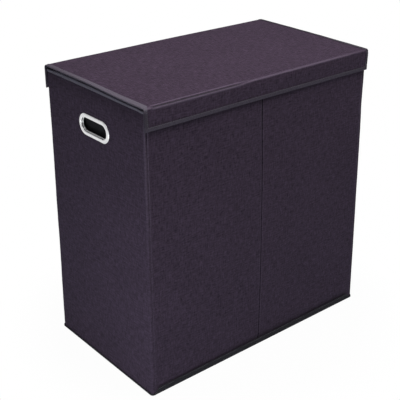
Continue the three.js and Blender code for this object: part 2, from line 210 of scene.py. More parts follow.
def soft_box(name, place, size, watts, colour):
    """A square area lamp that faces the middle of the hamper."""
    lamp = bpy.data.lights.new(name, "AREA")
    lamp.shape, lamp.size, lamp.energy, lamp.color = "SQUARE", size, watts, colour
    back = np.array(place) - np.array([0.0, 0.0, cad_high.z / 2])
    azimuth = math.atan2(back[0], -back[1])
    elevation = math.asin(back[2] / np.linalg.norm(back))
    new_object(name, lamp).matrix_world = placed(camera_axes(azimuth, elevation, 0.0), place)


for box_name, facts in SOFT_BOXES.items():
    soft_box(box_name, **facts)
print("soft boxes:", ", ".join(SOFT_BOXES))

# %% Floor
FLOOR_REACH = 12.0
FLOOR_BOUNCE, FLOOR_LIT = (0.48, 0.60, 0.74), (0.9, 0.9, 0.9)
FLOOR_WHITE_NEAR, FLOOR_WHITE_FAR = 0.97, 1.0
SHADOW_FROM, SHADOW_TO = 0.34, 0.52


def make_floor():
    """A wide floor that looks white and keeps a faint shadow. To the camera it is mostly its own
    white, with a little lit pale grey mixed in near the hamper, which carries the shadow. To all
    other rays it is a cool mid grey, which sets how much light it throws back up the hamper."""
    mesh = bpy.data.meshes.new("floor")
    corners = [(x * FLOOR_REACH, y * FLOOR_REACH, 0) for x, y in ((-1, -1), (1, -1), (1, 1), (-1, 1))]
    mesh.from_pydata(corners, [], [(0, 1, 2, 3)])
    floor = new_object("floor", mesh)
    material = bpy.data.materials.new("floor_white")
    graph = Graph(material)
    place = graph.node("TexCoord", {}, "Object")
    far = graph.node("VectorMath", {0: place}, "Value", operation="LENGTH")
    share = graph.stretch(far, SHADOW_FROM, SHADOW_TO, FLOOR_WHITE_NEAR, FLOOR_WHITE_FAR,
                          interpolation_type="SMOOTHSTEP")
    grey, pale = (graph.node("BsdfDiffuse", {"Color": (*c, 1)}) for c in (FLOOR_BOUNCE, FLOOR_LIT))
    white = graph.node("Emission", {"Strength": 1.0})
    shown = graph.node("MixShader", {0: share, 1: pale, 2: white})
    chosen = graph.node("MixShader", {0: graph.seen_directly(), 1: grey, 2: shown})
    graph.node("OutputMaterial", {0: chosen})
    mesh.materials.append(material)


make_floor()
print("floor reaches", FLOOR_REACH, "m each way")

# %% [markdown]
# ## Finishes
# Every finish is a Principled shader with a procedural pattern. A woven cloth's pattern has to
# follow the cloth round its folds, so each piece below carries a UV map in metres along its own
# surface, and the weave reads that map. One thread crossing is a small pillow: the sine of the
# place across the warp times the sine across the weft is high over one thread and low over the
# other. Long thin noise along each thread gives the thick and thin places of real yarn.

# %% Shader helpers
class Finish(Graph):
    """A material being made, with short calls for the nodes that the finishes share."""

    def __init__(self, name, roughness, metallic=0.0, sheen=0.0, specular=0.5):
        self.material = bpy.data.materials.new(name)
        super().__init__(self.material)
        shaded = self.node("BsdfPrincipled", {"Roughness": roughness, "Metallic": metallic,
                                              "Sheen Weight": sheen, "Specular IOR Level": specular})
        self.node("OutputMaterial", {0: shaded})
        self.sockets = shaded.node.inputs

    def place(self, source):
        """The surface place: the piece's own UV map in metres, or its Object coordinates."""
        return self.node("UVMap", {}) if source == "UV" else self.node("TexCoord", {}, "Object")

    def scaled(self, vector, scale, turn=0.0):
        """The place scaled along its axes and turned about the third."""
        return self.node("Mapping", {"Vector": vector, "Scale": scale, "Rotation": (0, 0, turn)})

    def noise(self, vector, scale, detail=2.0, roughness=0.5):
        """Smooth random noise, with about the scale's number of waves in a unit of the place."""
        return self.node("TexNoise", {"Vector": vector, "Scale": scale, "Detail": detail,
                                      "Roughness": roughness})

    def colours(self, share, first, second):
        """The first colour, with the second mixed in by the share."""
        ends = [c if isinstance(c, bpy.types.NodeSocket) else (*c, 1) for c in (first, second)]
        return self.node("Mix", {0: share, 6: ends[0], 7: ends[1]}, 2, data_type="RGBA")

    def bump(self, height, depth):
        """A normal tilted by the slope of the height, where 1 stands for the depth."""
        return self.node("Bump", {"Distance": depth, "Height": height})

    def done(self, colour, normal):
        """The finished material: its colour and normal go to the shader."""
        self.links.new(colour, self.sockets["Base Color"])
        self.links.new(normal, self.sockets["Normal"])
        return self.material


def linear(red, green, blue):
    """A screen colour, 0 to 255, as the linear light that Blender mixes."""
    shares = np.array([red, green, blue]) / 255
    light = np.where(shares <= 0.04045, shares / 12.92, ((shares + 0.055) / 1.055) ** 2.4)
    return tuple(float(v) for v in light)


print("a screen's middle grey is", round(linear(128, 128, 128)[0], 3), "in linear light")

# %% Woven cloths
SLUB_WIDE, SLUB_LONG, WANDER = 0.42, 0.075, 0.35
SPECKLE_SIZE, PATCHES_PER_M, PALE_BREAKUPS_PER_M = 4.2 * MM, 9.0, 260.0


def woven(name, dark, light, wear_and_painted_light, pitch, slub=0.6, speckle=0.16, patchy=0.05, depth=0.25, sheen=0.05):
    """A plain weave. The thread count comes from the pitch, the yarn's tone from long noise along
    each thread, where it runs thick and thin, and finer noise speckles the cloth. Places marked with
    a positive share are mixed towards the pale colour, which is partly rubbing and mostly painted
    highlight, and places marked with a negative share, deep in a fold or a seam, towards a third of
    the dark one, which is painted shade."""
    cloth = Finish(name, roughness=0.9, sheen=sheen, specular=0.1)
    place = cloth.place("UV")
    threads = cloth.scaled(place, (1 / pitch, 1 / pitch, 1))
    across, along, _ = cloth.parts(threads)
    drift = cloth.stretch(cloth.noise(threads, 0.12, 1.0), 0.3, 0.7, -WANDER, WANDER)
    across, along = cloth.maths("ADD", across, drift), cloth.maths("SUBTRACT", along, drift)
    waves = [cloth.maths("SINE", cloth.maths("MULTIPLY", way, math.pi)) for way in (across, along)]
    crossing = cloth.maths("MULTIPLY", *waves)
    over = cloth.maths("ADD", cloth.maths("MULTIPLY", crossing, 0.5), 0.5)
    pillow = cloth.maths("POWER", cloth.maths("ABSOLUTE", crossing), 0.5)
    warp, weft = (cloth.noise(cloth.scaled(threads, (*scale, 1)), 1.0, 2.0, 0.6)
                  for scale in ((SLUB_WIDE, SLUB_LONG), (SLUB_LONG, SLUB_WIDE)))
    yarn = cloth.stretch(cloth.node("Mix", {0: over, 2: warp, 3: weft}), 0.36, 0.64)
    flecks = cloth.stretch(cloth.noise(place, 1 / SPECKLE_SIZE, 2.0, 0.6), 0.3, 0.7, -speckle, speckle)
    patches = cloth.stretch(cloth.noise(place, PATCHES_PER_M, 3.0, 0.6), 0.3, 0.7, -patchy, patchy)
    tone = cloth.maths("ADD", cloth.maths("MULTIPLY", yarn, slub),
                       cloth.maths("MULTIPLY", pillow, 1 - slub))
    tone = cloth.maths("ADD", tone, cloth.maths("ADD", flecks, patches))
    # The marks: a positive share mixes in the pale colour, partly rubbing and mostly painted highlight; a
    # negative share mixes in painted shade.
    marked = cloth.node("Attribute", {}, "Fac", attribute_name="wear_and_painted_light")
    pale_breakup = cloth.stretch(cloth.noise(place, PALE_BREAKUPS_PER_M), 0.25, 0.6, 0.55, 1.0)
    base = cloth.colours(cloth.maths("MULTIPLY", marked, pale_breakup), cloth.colours(tone, dark, light), wear_and_painted_light)
    base = cloth.colours(cloth.maths("MULTIPLY", marked, -1.0), base, tuple(v / 3 for v in dark))
    height = cloth.maths("ADD", cloth.maths("MULTIPLY", pillow, 0.7), cloth.maths("MULTIPLY", yarn, 0.5))
    return cloth.done(base, cloth.bump(height, depth * MM))


COVER_PITCH = 1.25 * MM
# The third colour of each cloth is the pale one of its painted highlights and rubbed places.
cover_cloth = woven("aubergine_linen", linear(34, 26, 36), linear(81, 65, 84), linear(106, 93, 110),
                    COVER_PITCH, slub=0.66, speckle=0.15, depth=0.26, sheen=0.02)
tape_cloth = woven("grey_binding", linear(57, 51, 60), linear(86, 77, 90), linear(112, 105, 117),
                   0.7 * MM, slub=0.45, speckle=0.1, depth=0.16, sheen=0.02)
band_cloth = woven("black_band", linear(31, 29, 34), linear(50, 47, 53), linear(62, 60, 66),
                   0.9 * MM, slub=0.5, speckle=0.12, depth=0.2)
bag_cloth = woven("charcoal_bag", linear(20, 20, 22), linear(36, 35, 39), linear(48, 47, 52),
                  0.8 * MM, slub=0.5, speckle=0.15, depth=0.16)
print("woven finishes:", [m.name for m in (cover_cloth, tape_cloth, band_cloth, bag_cloth)])

# %% Webbing, lining, hook-and-loop and thread
RIB_TURN, RIB_PACE, DIMPLE = 3.2, 3.6, 1.6 * MM


def ribbed_webbing():
    """Strap webbing: slanted ribs that change direction every few millimetres, as herringbone's do."""
    strap = Finish("dark_webbing", roughness=0.82, sheen=0.15, specular=0.3)
    along, across, _ = strap.parts(strap.scaled(strap.place("UV"), (1 / MM, 1 / MM, 1)))
    zigzag = strap.maths("PINGPONG", across, RIB_TURN)
    ribs = strap.maths("SINE", strap.maths("MULTIPLY", strap.maths("ADD", along, zigzag), RIB_PACE))
    height = strap.maths("ADD", strap.maths("MULTIPLY", ribs, 0.5), 0.5)
    colour = strap.colours(height, linear(48, 46, 52), linear(86, 83, 91))
    return strap.done(colour, strap.bump(height, 0.3 * MM))


def pressed_lining():
    """Non-woven lining: matted fibres pressed flat in small dimples on a slanted grid."""
    felt = Finish("black_lining", roughness=0.9, sheen=0.08, specular=0.2)
    place = felt.place("UV")
    slanted = felt.parts(felt.scaled(place, (1 / DIMPLE, 1 / DIMPLE, 1), math.pi / 4))
    waves = [felt.maths("SINE", felt.maths("MULTIPLY", way, math.tau)) for way in slanted[:2]]
    dimple = felt.stretch(felt.maths("MULTIPLY", *waves), 0.25, 0.75, 1.0, 0.0)
    fibres = felt.noise(felt.scaled(place, (700, 240, 1)), 1.0, 5.0, 0.7)
    height = felt.maths("ADD", felt.maths("MULTIPLY", dimple, 0.7), felt.maths("MULTIPLY", fibres, 0.5))
    colour = felt.colours(felt.stretch(height, 0.3, 1.1), linear(34, 33, 37), linear(56, 54, 60))
    return felt.done(colour, felt.bump(height, 0.2 * MM))


def napped_strip():
    """Hook-and-loop tape: a dense nap of tiny loops, as fine sharp noise."""
    nap = Finish("black_hook_and_loop", roughness=0.95, sheen=0.3, specular=0.15)
    loops = nap.noise(nap.place("UV"), 1500.0, 3.0, 0.8)
    colour = nap.colours(nap.stretch(loops, 0.35, 0.65), linear(20, 20, 22), linear(50, 49, 54))
    return nap.done(colour, nap.bump(loops, 0.8 * MM))


def sewing_thread():
    """Twisted polyester thread: fine slanted bands and a soft shine."""
    thread = Finish("grey_thread", roughness=0.55, sheen=0.1, specular=0.4)
    twist = thread.noise(thread.scaled(thread.place("Object"), (900, 900, 2600)), 1.0, 1.0)
    colour = thread.colours(thread.stretch(twist, 0.3, 0.7), linear(74, 71, 78), linear(112, 109, 117))
    return thread.done(colour, thread.bump(twist, 0.05 * MM))


webbing_cloth, lining_cloth = ribbed_webbing(), pressed_lining()
hook_and_loop, thread_finish = napped_strip(), sewing_thread()
print("other cloths:", [m.name for m in (webbing_cloth, lining_cloth, hook_and_loop, thread_finish)])

# %% Chipboard and satin nickel
def chipboard_finish():
    """Grey-brown pressed fibre board: flecks of several sizes and a rough face."""
    board = Finish("chipboard", roughness=0.85, specular=0.3)
    place = board.place("Object")
    flecks = board.noise(place, 420.0, 5.0, 0.7)
    clouds = board.noise(place, 25.0, 3.0)
    tone = board.maths("ADD", board.maths("MULTIPLY", flecks, 0.7), board.maths("MULTIPLY", clouds, 0.3))
    colour = board.colours(board.stretch(tone, 0.35, 0.65), linear(116, 100, 82), linear(158, 142, 120))
    return board.done(colour, board.bump(flecks, 0.1 * MM))


def nickel_finish():
    """Satin nickel plate: bright, with soft reflections and very fine brush marks."""
    metal = Finish("satin_nickel", roughness=0.3, metallic=1.0)
    place = metal.place("Object")
    brushed = metal.noise(metal.scaled(place, (300, 1200, 5200)), 1.0, 2.0)
    smears = metal.noise(place, 60.0, 3.0)
    metal.links.new(metal.stretch(smears, 0.3, 0.7, 0.24, 0.36), metal.sockets["Roughness"])
    colour = metal.colours(metal.stretch(smears, 0.3, 0.7), linear(214, 214, 216), linear(232, 232, 233))
    return metal.done(colour, metal.bump(brushed, 0.012 * MM))


chipboard, satin_nickel = chipboard_finish(), nickel_finish()
for node_name, node_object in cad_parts.items():
    if node_name.endswith("board"):
        node_object.data.materials.clear()
        node_object.data.materials.append(chipboard)
print("boards in chipboard:", sum(n.endswith("board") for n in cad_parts))

# %% [markdown]
# ## Shape tools
# A cloth is a grid of points worked out from two running lengths, which are also its UV map. To
# give it a real thickness the same grid is laid down twice, once for each face, and the open edges
# are joined all round, so the sheet is a closed body with no holes. Blender's Solidify modifier
# would do the same, but the two grids can differ, which a bound edge or a fold needs.

# %% Stations, easing and slow waves
def spaced(*stops):
    """Stations on a line. Each stop is a place and the greatest step after it; the stations
    between two stops are evenly spaced."""
    runs = []
    for (start, step), (end, _) in zip(stops, stops[1:]):
        count = max(1, math.ceil(abs(end - start) / step))
        runs.append(np.linspace(start, end, count, endpoint=False))
    return np.append(np.concatenate(runs), stops[-1][0])


def ease(low, high, x):
    """0 below low, 1 above high, and the smooth cubic 3t^2 - 2t^3 between them."""
    t = np.clip((x - low) / (high - low), 0, 1)
    return t * t * (3 - 2 * t)


def bell(x, width):
    """A hump of height 1 at 0 that falls to 1/e at the width: e to the power -(x / width)^2."""
    return np.exp(-(x / width) ** 2)


WAVE_COUNT = 8


def swell(a, b, length, seed):
    """A slow random swell, mostly within -1 to 1: the mean of eight sine waves over the plane of a
    and b, each in a seeded direction and about one length long, times two."""
    rng = np.random.default_rng(seed)
    total = 0.0
    for _ in range(WAVE_COUNT):
        heading, phase = rng.uniform(0, math.tau), rng.uniform(0, math.tau)
        stretch = rng.uniform(0.6, 1.6)
        run = a * math.cos(heading) + b * math.sin(heading)
        total = total + np.sin(math.tau * run / (length * stretch) + phase)
    return total * 2 / WAVE_COUNT


print("stations with a finer end:", spaced((0, 2), (4, 1), (6, 0)))

# %% Grids
def joined(*arrays):
    """Arrays brought to one shape and joined, so that each point gets one number from each."""
    return np.stack(np.broadcast_arrays(*arrays), -1)


def grid_faces(rows, columns, round_rows=False, round_columns=False):
    """The four-sided faces of a grid, row by row. A round grid joins its last line to its first."""
    i = np.arange(rows if round_rows else rows - 1)[:, None]
    j = np.arange(columns if round_columns else columns - 1)[None, :]
    next_i, next_j = (i + 1) % rows, (j + 1) % columns
    corners = [i * columns + j, i * columns + next_j, next_i * columns + next_j, next_i * columns + j]
    return joined(*corners).reshape(-1, 4)


# %% Closed sheets
def open_edges(faces, count):
    """The edges that only one face has, in that face's direction."""
    edges = np.concatenate([faces[:, [k, (k + 1) % 4]] for k in range(4)])
    low, high = edges.min(1).astype(np.int64), edges.max(1).astype(np.int64)
    _, first, times = np.unique(low * count + high, return_index=True, return_counts=True)
    return edges[first[times == 1]]


def closed_sheet(outer, inner, faces, uv):
    """One face of a cloth, the other face, and a strip of faces that joins their open edges."""
    count = len(outer)
    edge = open_edges(faces, count)
    strip = joined(edge[:, 1], edge[:, 0], edge[:, 0] + count, edge[:, 1] + count)
    all_faces = np.concatenate([faces, faces[:, ::-1] + count, strip])
    return np.concatenate([outer, inner]), all_faces, np.concatenate([uv, uv])


def face_normals(points, faces):
    """Unit normals at the points: the sum over each point's faces of the cross product of the
    face's two diagonals, which is twice the face's area along its normal."""
    a, b, c, d = (points[faces[:, k]] for k in range(4))
    cross = np.cross(c - a, d - b)
    total = np.stack([
        sum(np.bincount(faces[:, k], cross[:, axis], len(points)) for k in range(4)) for axis in range(3)
    ], 1)
    return total / np.linalg.norm(total, axis=1, keepdims=True)


def sheet_grid(outer, inner, uv, round_rows=False, round_columns=False):
    """A closed sheet from two grids of points of the same size."""
    rows, columns = outer.shape[:2]
    faces = grid_faces(rows, columns, round_rows, round_columns)
    return closed_sheet(outer.reshape(-1, 3), inner.reshape(-1, 3), faces, uv.reshape(-1, 2))


def enclosed(points, faces):
    """The volume inside the faces, negative where they face inwards."""
    a, b, c, d = (points[faces[:, k]] for k in range(4))
    return float(np.einsum("ij,ij->", a, np.cross(b, c)) + np.einsum("ij,ij->", a, np.cross(c, d))) / 6


# %% From arrays to a piece
SHARP_TURN = math.radians(48)
made = {}


def add_piece(name, shape, finish, slot, body=None, stands_for=(), wear_and_painted_light=None):
    """Puts a shape, which is its points, faces and UV places, into a new object. Faces that look
    inwards are turned round. Edges that turn by more than the sharp angle stay crisp. Marks of
    painted highlight, painted shade and wear, if given, are kept as a point attribute for the finish."""
    points, faces, uv = shape
    if enclosed(points, faces) < 0:
        faces = faces[:, ::-1]
    mesh = bpy.data.meshes.new(name)
    mesh.vertices.add(len(points))
    mesh.vertices.foreach_set("co", points.astype(np.float32).ravel())
    mesh.loops.add(faces.size)
    mesh.loops.foreach_set("vertex_index", faces.astype(np.int32).ravel())
    mesh.polygons.add(len(faces))
    mesh.polygons.foreach_set("loop_start", np.arange(0, faces.size, 4, dtype=np.int32))
    layer = mesh.uv_layers.new(name="UVMap")
    layer.data.foreach_set("uv", uv[faces.ravel()].astype(np.float32).ravel())
    mesh.polygons.foreach_set("use_smooth", np.ones(len(faces), bool))
    if wear_and_painted_light is not None:
        doubled = np.tile(wear_and_painted_light.ravel(), len(points) // wear_and_painted_light.size).astype(np.float32)
        mesh.attributes.new("wear_and_painted_light", "FLOAT", "POINT").data.foreach_set("value", doubled)
    mesh.update(calc_edges=True)
    mesh.set_sharp_from_angle(angle=SHARP_TURN)
    mesh.materials.append(finish)
    piece = new_object(name, mesh)
    if stands_for:
        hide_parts(*stands_for)
    if body:
        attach(piece, body)
    made[name] = len(faces)
    return piece


def node_box(node):
    """A CAD node's lowest and highest corner as plain arrays."""
    return tuple(np.array(corner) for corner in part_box(node))


# %% [markdown]
# ## Sizes read from the frame
# Every cloth sits where its plain sheet sits in the frame, so the main planes are read from the
# frame's boxes: the outer faces of the four walls, the rim, the lid and the two lips. The real box
# isn't quite true: the stiff floor board pushes its walls apart at the foot. The lean of each wall
# is set here once, as a distance at each height, so that every cloth on it follows the same wall.

# %% Main planes
CLOTH, LINING, TAPE = 0.8 * MM, 0.6 * MM, 0.6 * MM
CORNER, FOOT_CORNER = 4.0 * MM, 5.5 * MM
half_x, half_y = -node_box("left_cover")[0][0], node_box("left_cover")[1][1]
wall_low, wall_high = node_box("front_cover")[0][2], node_box("front_cover")[1][2]
rim_low, rim_high = node_box("rim_tape")[0][2], node_box("rim_tape")[1][2]
tape_proud = node_box("rim_tape")[1][0] - half_x
wall_thick = half_x + node_box("left_lining")[1][0]
SEAM_PAST = 0.7 * MM
seam_x = half_x - CORNER - SEAM_PAST
print("wall faces at", half_x, half_y, "m; wall thickness", round(wall_thick / MM, 2), "mm")

# %% How the walls lean
LEAN_FROM, LEAN_START = 540 * MM, 0.12
BULGE_AT, BULGE_HIGH = 560 * MM, 75 * MM
LEAN = {
    "front": {"foot": 6.0 * MM, "twist": -0.9 * MM, "power": 0.9, "bulge": 0.0},
    "back": {"foot": 7.3 * MM, "twist": 0.0, "power": 1.0, "bulge": 0.0},
    "left": {"foot": 3.5 * MM, "twist": -0.85 * MM, "power": 1.4, "bulge": 1.1 * MM},
    "right": {"foot": 10.0 * MM, "twist": 0.0, "power": 0.75, "bulge": -1.3 * MM},
}


def lean(wall, z, along=0.0):
    """How far a wall leans out: nothing above the height of the hand holes, and below it the foot's
    distance times a power of the share of the way down, with a soft start. The foot's distance
    changes by the twist towards the wall's end, where the share along the wall is 1, and the other
    way towards -1. A wall may also bulge a little near its top, at the end that the bulge's sign
    names."""
    facts = LEAN[wall]
    down = np.clip(1 - z / LEAN_FROM, 0, 1)
    foot = facts["foot"] + facts["twist"] * along
    end = ease(0.4, 1, along * np.sign(facts["bulge"]))
    bulge = abs(facts["bulge"]) * end * bell(z - BULGE_AT, BULGE_HIGH)
    return foot * down ** facts["power"] * ease(0, LEAN_START, down) + bulge


def spread(x, y, z, radius):
    """Moves points of a level rectangle out with the four walls at a height: each half of it is
    stretched until its side, a radius inside the wall, stands where the leaning wall does."""
    sideways = np.where(x < 0, lean("left", z, y / half_y), lean("right", z, y / half_y))
    fore = np.where(y < 0, lean("front", z, x / half_x), lean("back", z))
    return x * (1 + sideways / (half_x - radius)), y * (1 + fore / (half_y - radius))


def corner_radius(z):
    """The corners are crisp at the rim and a little rounder at the foot."""
    return CORNER + (FOOT_CORNER - CORNER) * (1 - z / wall_high) ** 2


print("lean at the foot in mm:", {wall: round(facts["foot"] / MM, 1) for wall, facts in LEAN.items()})

# %% [markdown]
# ## The outer cloth
# The real cover is four panels of a coarse linen-look cloth laid over boards. The two end panels
# turn round the corners and meet the front and back panels in a stitched seam just inside each
# corner. Between their boards the front and back panels sink into the middle fold, and the edges of
# the boards show beside it as fine ridges, with a painted highlight on each. Each panel is a height
# field: a flat grid whose points stand off the wall by the sum of those effects.

# %% The cloth at a seam
FOLD_PLACE, FOLD_BOW, FOLD_PEAK = -1.0 * MM, 21.0 * MM, 0.42
FOLD_HALF, FOLD_DEEP = 1.9 * MM, 2.3 * MM
SEAM_WIDE, SEAM_DEEP = 1.7 * MM, 1.1 * MM
BOARD_ROOM, BOARD_GAP = 0.95 * MM, 4.0 * MM
FOLD_UPPER, PALE_UPPER = (330 * MM, 540 * MM), (300 * MM, 540 * MM)
PANEL_ENDS, GROOVE_Z = (294 * MM, 303 * MM), 16 * MM


def seam_pull(z):
    """How hard the seam is drawn in: most just under the lid, less down the wall, little below."""
    return 0.14 + 0.3 * ease(180 * MM, 320 * MM, z) + 0.56 * ease(545 * MM, 585 * MM, z)


def seam_relief(gap, z, seed):
    """Beside a seam at the given gap: the edge rolls in, the cloth next to it is drawn into small
    puckers along the seam, and both fade within a few centimetres."""
    roll = -SEAM_DEEP * (1 - ease(0, SEAM_WIDE, gap)) * seam_pull(z)
    crown = 0.3 * MM * bell(gap - 3.2 * MM, 1.6 * MM) * (0.4 + 0.6 * seam_pull(z))
    pucker = 0.16 * MM * np.exp(-gap / (9 * MM)) * swell(z, gap, 9 * MM, seed)
    return roll + crown + pucker * ease(0, 2 * MM, gap)


def seam_shade(gap, z):
    """The drawn seam is a dark line near the rim: a negative share, for the finish."""
    return -0.9 * (1 - ease(0.4 * MM, 1.5 * MM, gap)) * ease(550 * MM, 594 * MM, z)


# %% The middle fold
def fold_relief(x, z):
    """The middle fold: a narrow trench, deepest under the rim, with a low ridge on each side where
    the cloth passes over the edge of its board. Its line bows to the left as the square of the
    height above or below a place a little under half way up. The second number it gives is for the
    finish: a painted highlight on the ridges and painted shade in the trench."""
    line = FOLD_PLACE - FOLD_BOW * (z / wall_high - FOLD_PEAK) ** 2
    away = np.abs(x - line - 0.25 * MM * swell(z, 0 * z, 90 * MM, 4))
    deep = FOLD_DEEP * (0.65 + 0.35 * ease(*FOLD_UPPER, z))
    trench = -deep * (1 - ease(0, FOLD_HALF, away))
    ridge = 0.35 * MM * bell(away - FOLD_HALF - 1.2 * MM, 1.3 * MM)
    # dark is painted shade in the trench; the pale share beside it is a painted highlight on the ridges.
    dark = (0.55 + 0.35 * ease(*FOLD_UPPER, z)) * bell(away, 1.5 * MM)
    return trench + ridge, 0.25 * bell(away - FOLD_HALF - 1.0 * MM, 1.2 * MM) - dark


# %% Swells, and the cloth at the foot
def wall_swell(a, z, seed):
    """Boards and cloth are never quite flat: a slow swell of a few tenths of a millimetre."""
    return 0.35 * MM * swell(a, z, 260 * MM, seed) + 0.10 * MM * swell(a, z, 60 * MM, seed + 1)


def foot_relief(x, z):
    """Just above the base band the cloth is drawn in, and over the right board it stands out in a
    soft roll a few centimetres up, where the board's foot has bowed."""
    along = ease(20 * MM, 120 * MM, x)
    roll = 2.0 * MM * bell(z - 42 * MM, 24 * MM) * along * (1 - ease(280 * MM, 303 * MM, x))
    drawn = -0.9 * MM * bell(z - GROOVE_Z, 3.2 * MM) * (1 - ease(*PANEL_ENDS, np.abs(x)))
    return roll + drawn


def shadow_lines(x, z):
    """Where the cloth is greyed by lying in a deep nook: above the base band, a little higher and
    wider to the right, and along the lip's free edge, less to the right."""
    ends = 1 - ease(*PANEL_ENDS, np.abs(x))
    foot = 0.5 * bell(z - GROOVE_Z, 3.6 * MM) + 0.3 * bell(z - 22 * MM, 5 * MM) * ease(-200 * MM, 0, x)
    lip = 0.45 * bell(z - 600 * MM, 4.5 * MM) * (1 - 0.6 * ease(0, 280 * MM, x))
    return -(foot + lip) * ends


print("middle fold is", round(FOLD_DEEP / MM, 1), "mm deep")

# %% Front and back panels
def folding_panel(wall, turn, seed):
    """The panel between two corner seams. A point is (x, -(half depth + lean + relief), z), and the
    back panel is the same turned half way round the middle."""
    x = spaced((-seam_x, 0.5 * MM), (-seam_x + 6 * MM, 4 * MM), (-0.012, 0.5 * MM), (0.008, 4 * MM),
               (seam_x - 6 * MM, 0.5 * MM), (seam_x, 0))
    z = spaced((wall_low, 4 * MM), (wall_high, 0))
    z, x = np.meshgrid(z, x, indexing="ij")
    gap = seam_x - np.abs(x)
    fold, fold_painted_light = fold_relief(x, z)
    relief = fold + seam_relief(gap, z, seed) + wall_swell(x, z, seed) + foot_relief(x, z)
    leaned = lean(wall, z, x / half_x)
    room = BOARD_ROOM + FOLD_DEEP * (1 - ease(BOARD_GAP - 1 * MM, BOARD_GAP, np.abs(x)))
    y = -(half_y + leaned + np.maximum(relief, -room - leaned))
    # Painted highlight, with a little rubbing, on the crown beside each seam, stronger higher up.
    seam_ridge = bell(gap - 3.0 * MM, 1.3 * MM) * (0.4 + 0.6 * ease(*PALE_UPPER, z))
    near, far = ("left", "right")[::turn]
    reach = half_x + np.where(x < 0, lean(near, z, -turn), lean(far, z, -turn))
    x = x * (reach - corner_radius(z) - SEAM_PAST) / seam_x
    outer, inner = (joined(turn * x, turn * (y + deep), z) for deep in (0, CLOTH))
    # Marks for the finish: the fold's painted highlight and painted shade, the seam crowns' painted
    # highlight, and painted shade in the seam, above the base band and under the lip.
    wear_and_painted_light = fold_painted_light + 0.5 * seam_ridge + seam_shade(gap, z) + shadow_lines(turn * x, z)
    return sheet_grid(outer, inner, joined(x, z)), wear_and_painted_light


for face, turn, seed in (("front", 1, 11), ("back", -1, 23)):
    shape, wear_and_painted_light = folding_panel(face, turn, seed)
    cloth = add_piece(f"{face}_cloth", shape, cover_cloth, "cover_cloth", "body",
                      [f"{face}_cover"], wear_and_painted_light)
print("front and back panels:", made)

# %% [markdown]
# ## The end panels and their hand holes
# Each end panel wraps both corners and has a slot for the grommet. A grid can't hold a hole, so
# the grid leaves out a small window, and the window is filled with rings of points that run from
# the window's frame to the slot's outline. The slot is a rectangle with round ends: the nearest
# point of its middle line, plus its radius along the direction away from that line.

# %% Slot geometry
SLOT_LONG, SLOT_HIGH = 91.0 * MM, 30.6 * MM
SLOT_Z = (node_box("left_handle_outer_ring")[0][2] + node_box("left_handle_outer_ring")[1][2]) / 2
COLLAR, CUT_ROOM = 1.2 * MM, 0.6 * MM
slot_core, slot_radius = (SLOT_LONG - SLOT_HIGH) / 2, SLOT_HIGH / 2
WINDOW_A, WINDOW_Z, RING_ROWS = 64 * MM, 34 * MM, 7


def slot_outline(points, grown):
    """The points of the slot's outline, grown outwards, that lie nearest to the given points."""
    core = joined(np.clip(points[:, 0], -slot_core, slot_core), SLOT_Z)
    away = points - core
    away /= np.linalg.norm(away, axis=1, keepdims=True)
    return core + (slot_radius + grown) * away


def holed_grid(a, z, grown):
    """A flat grid over a and z with the slot cut out, as points and faces. The window between
    -WINDOW_A and WINDOW_A must fall on grid lines."""
    columns = len(a)
    points = joined(a, z[:, None]).reshape(-1, 2)
    faces = grid_faces(len(z), columns)
    middle = points[faces].mean(1)
    inside = (np.abs(middle[:, 0]) < WINDOW_A) & (np.abs(middle[:, 1] - SLOT_Z) < WINDOW_Z)
    left, right = (int(np.argmin(np.abs(a - edge))) for edge in (-WINDOW_A, WINDOW_A))
    low, high = (int(np.argmin(np.abs(z - edge))) for edge in (SLOT_Z - WINDOW_Z, SLOT_Z + WINDOW_Z))
    across, up = np.arange(left, right), np.arange(low, high)
    frame_line = np.concatenate([
        low * columns + across, up * columns + right,
        high * columns + (across + 1)[::-1], (up + 1)[::-1] * columns + left,
    ])
    rim = slot_outline(points[frame_line], grown)
    shares = np.linspace(0, 1, RING_ROWS, endpoint=False)[:, None, None]
    rings = rim + (points[frame_line] - rim) * shares
    index = len(points) + np.arange(RING_ROWS * len(frame_line)).reshape(RING_ROWS, -1)
    index = np.concatenate([index, frame_line[None]])
    after = np.roll(index, -1, 1)
    ring_faces = joined(after[:-1], index[:-1], index[1:], after[1:]).reshape(-1, 4)
    points = np.concatenate([points, rings.reshape(-1, 2)])
    faces = np.concatenate([faces[~inside], ring_faces])
    used, faces = np.unique(faces, return_inverse=True)
    return points[used], faces.reshape(-1, 4)


print("middle of the slots is", round(SLOT_Z / MM, 1), "mm above the floor")

# %% Round the corners
PANEL_FLAT = half_y - CORNER
PANEL_END = PANEL_FLAT + CORNER * math.pi / 2 + SEAM_PAST


def wrap_corners(a, z, out, side):
    """From the length a along the end panel, at height z, to a point on the left end wall, out from
    the cloth's plane. The middle is flat; past the flat part the panel turns round a quarter circle
    of that height's radius and runs on to the seam. The right panel is turned half way round later,
    so its front is where the left one's back is."""
    radius = corner_radius(z)
    ahead, behind = ("front", "back")[::1 if side == "left" else -1]
    corner = -1 if side == "left" else 1
    flat = half_y + np.where(a > 0, lean(ahead, z, corner), lean(behind, z, corner)) - radius
    along = np.clip((-a if side == "left" else a) / PANEL_FLAT, -1, 1)
    share = np.clip((np.abs(a) - PANEL_FLAT) / (PANEL_END - PANEL_FLAT), 0, 1)
    turned = share * (radius * math.pi / 2 + SEAM_PAST)
    angle = np.minimum(turned / radius, math.pi / 2)
    past = np.maximum(turned - radius * math.pi / 2, 0)
    x = -(half_x + lean(side, z, along) - radius) - (radius + out) * np.cos(angle) + past
    y = -np.sign(a) * (np.minimum(np.abs(a) / PANEL_FLAT, 1) * flat + (radius + out) * np.sin(angle))
    return x, y


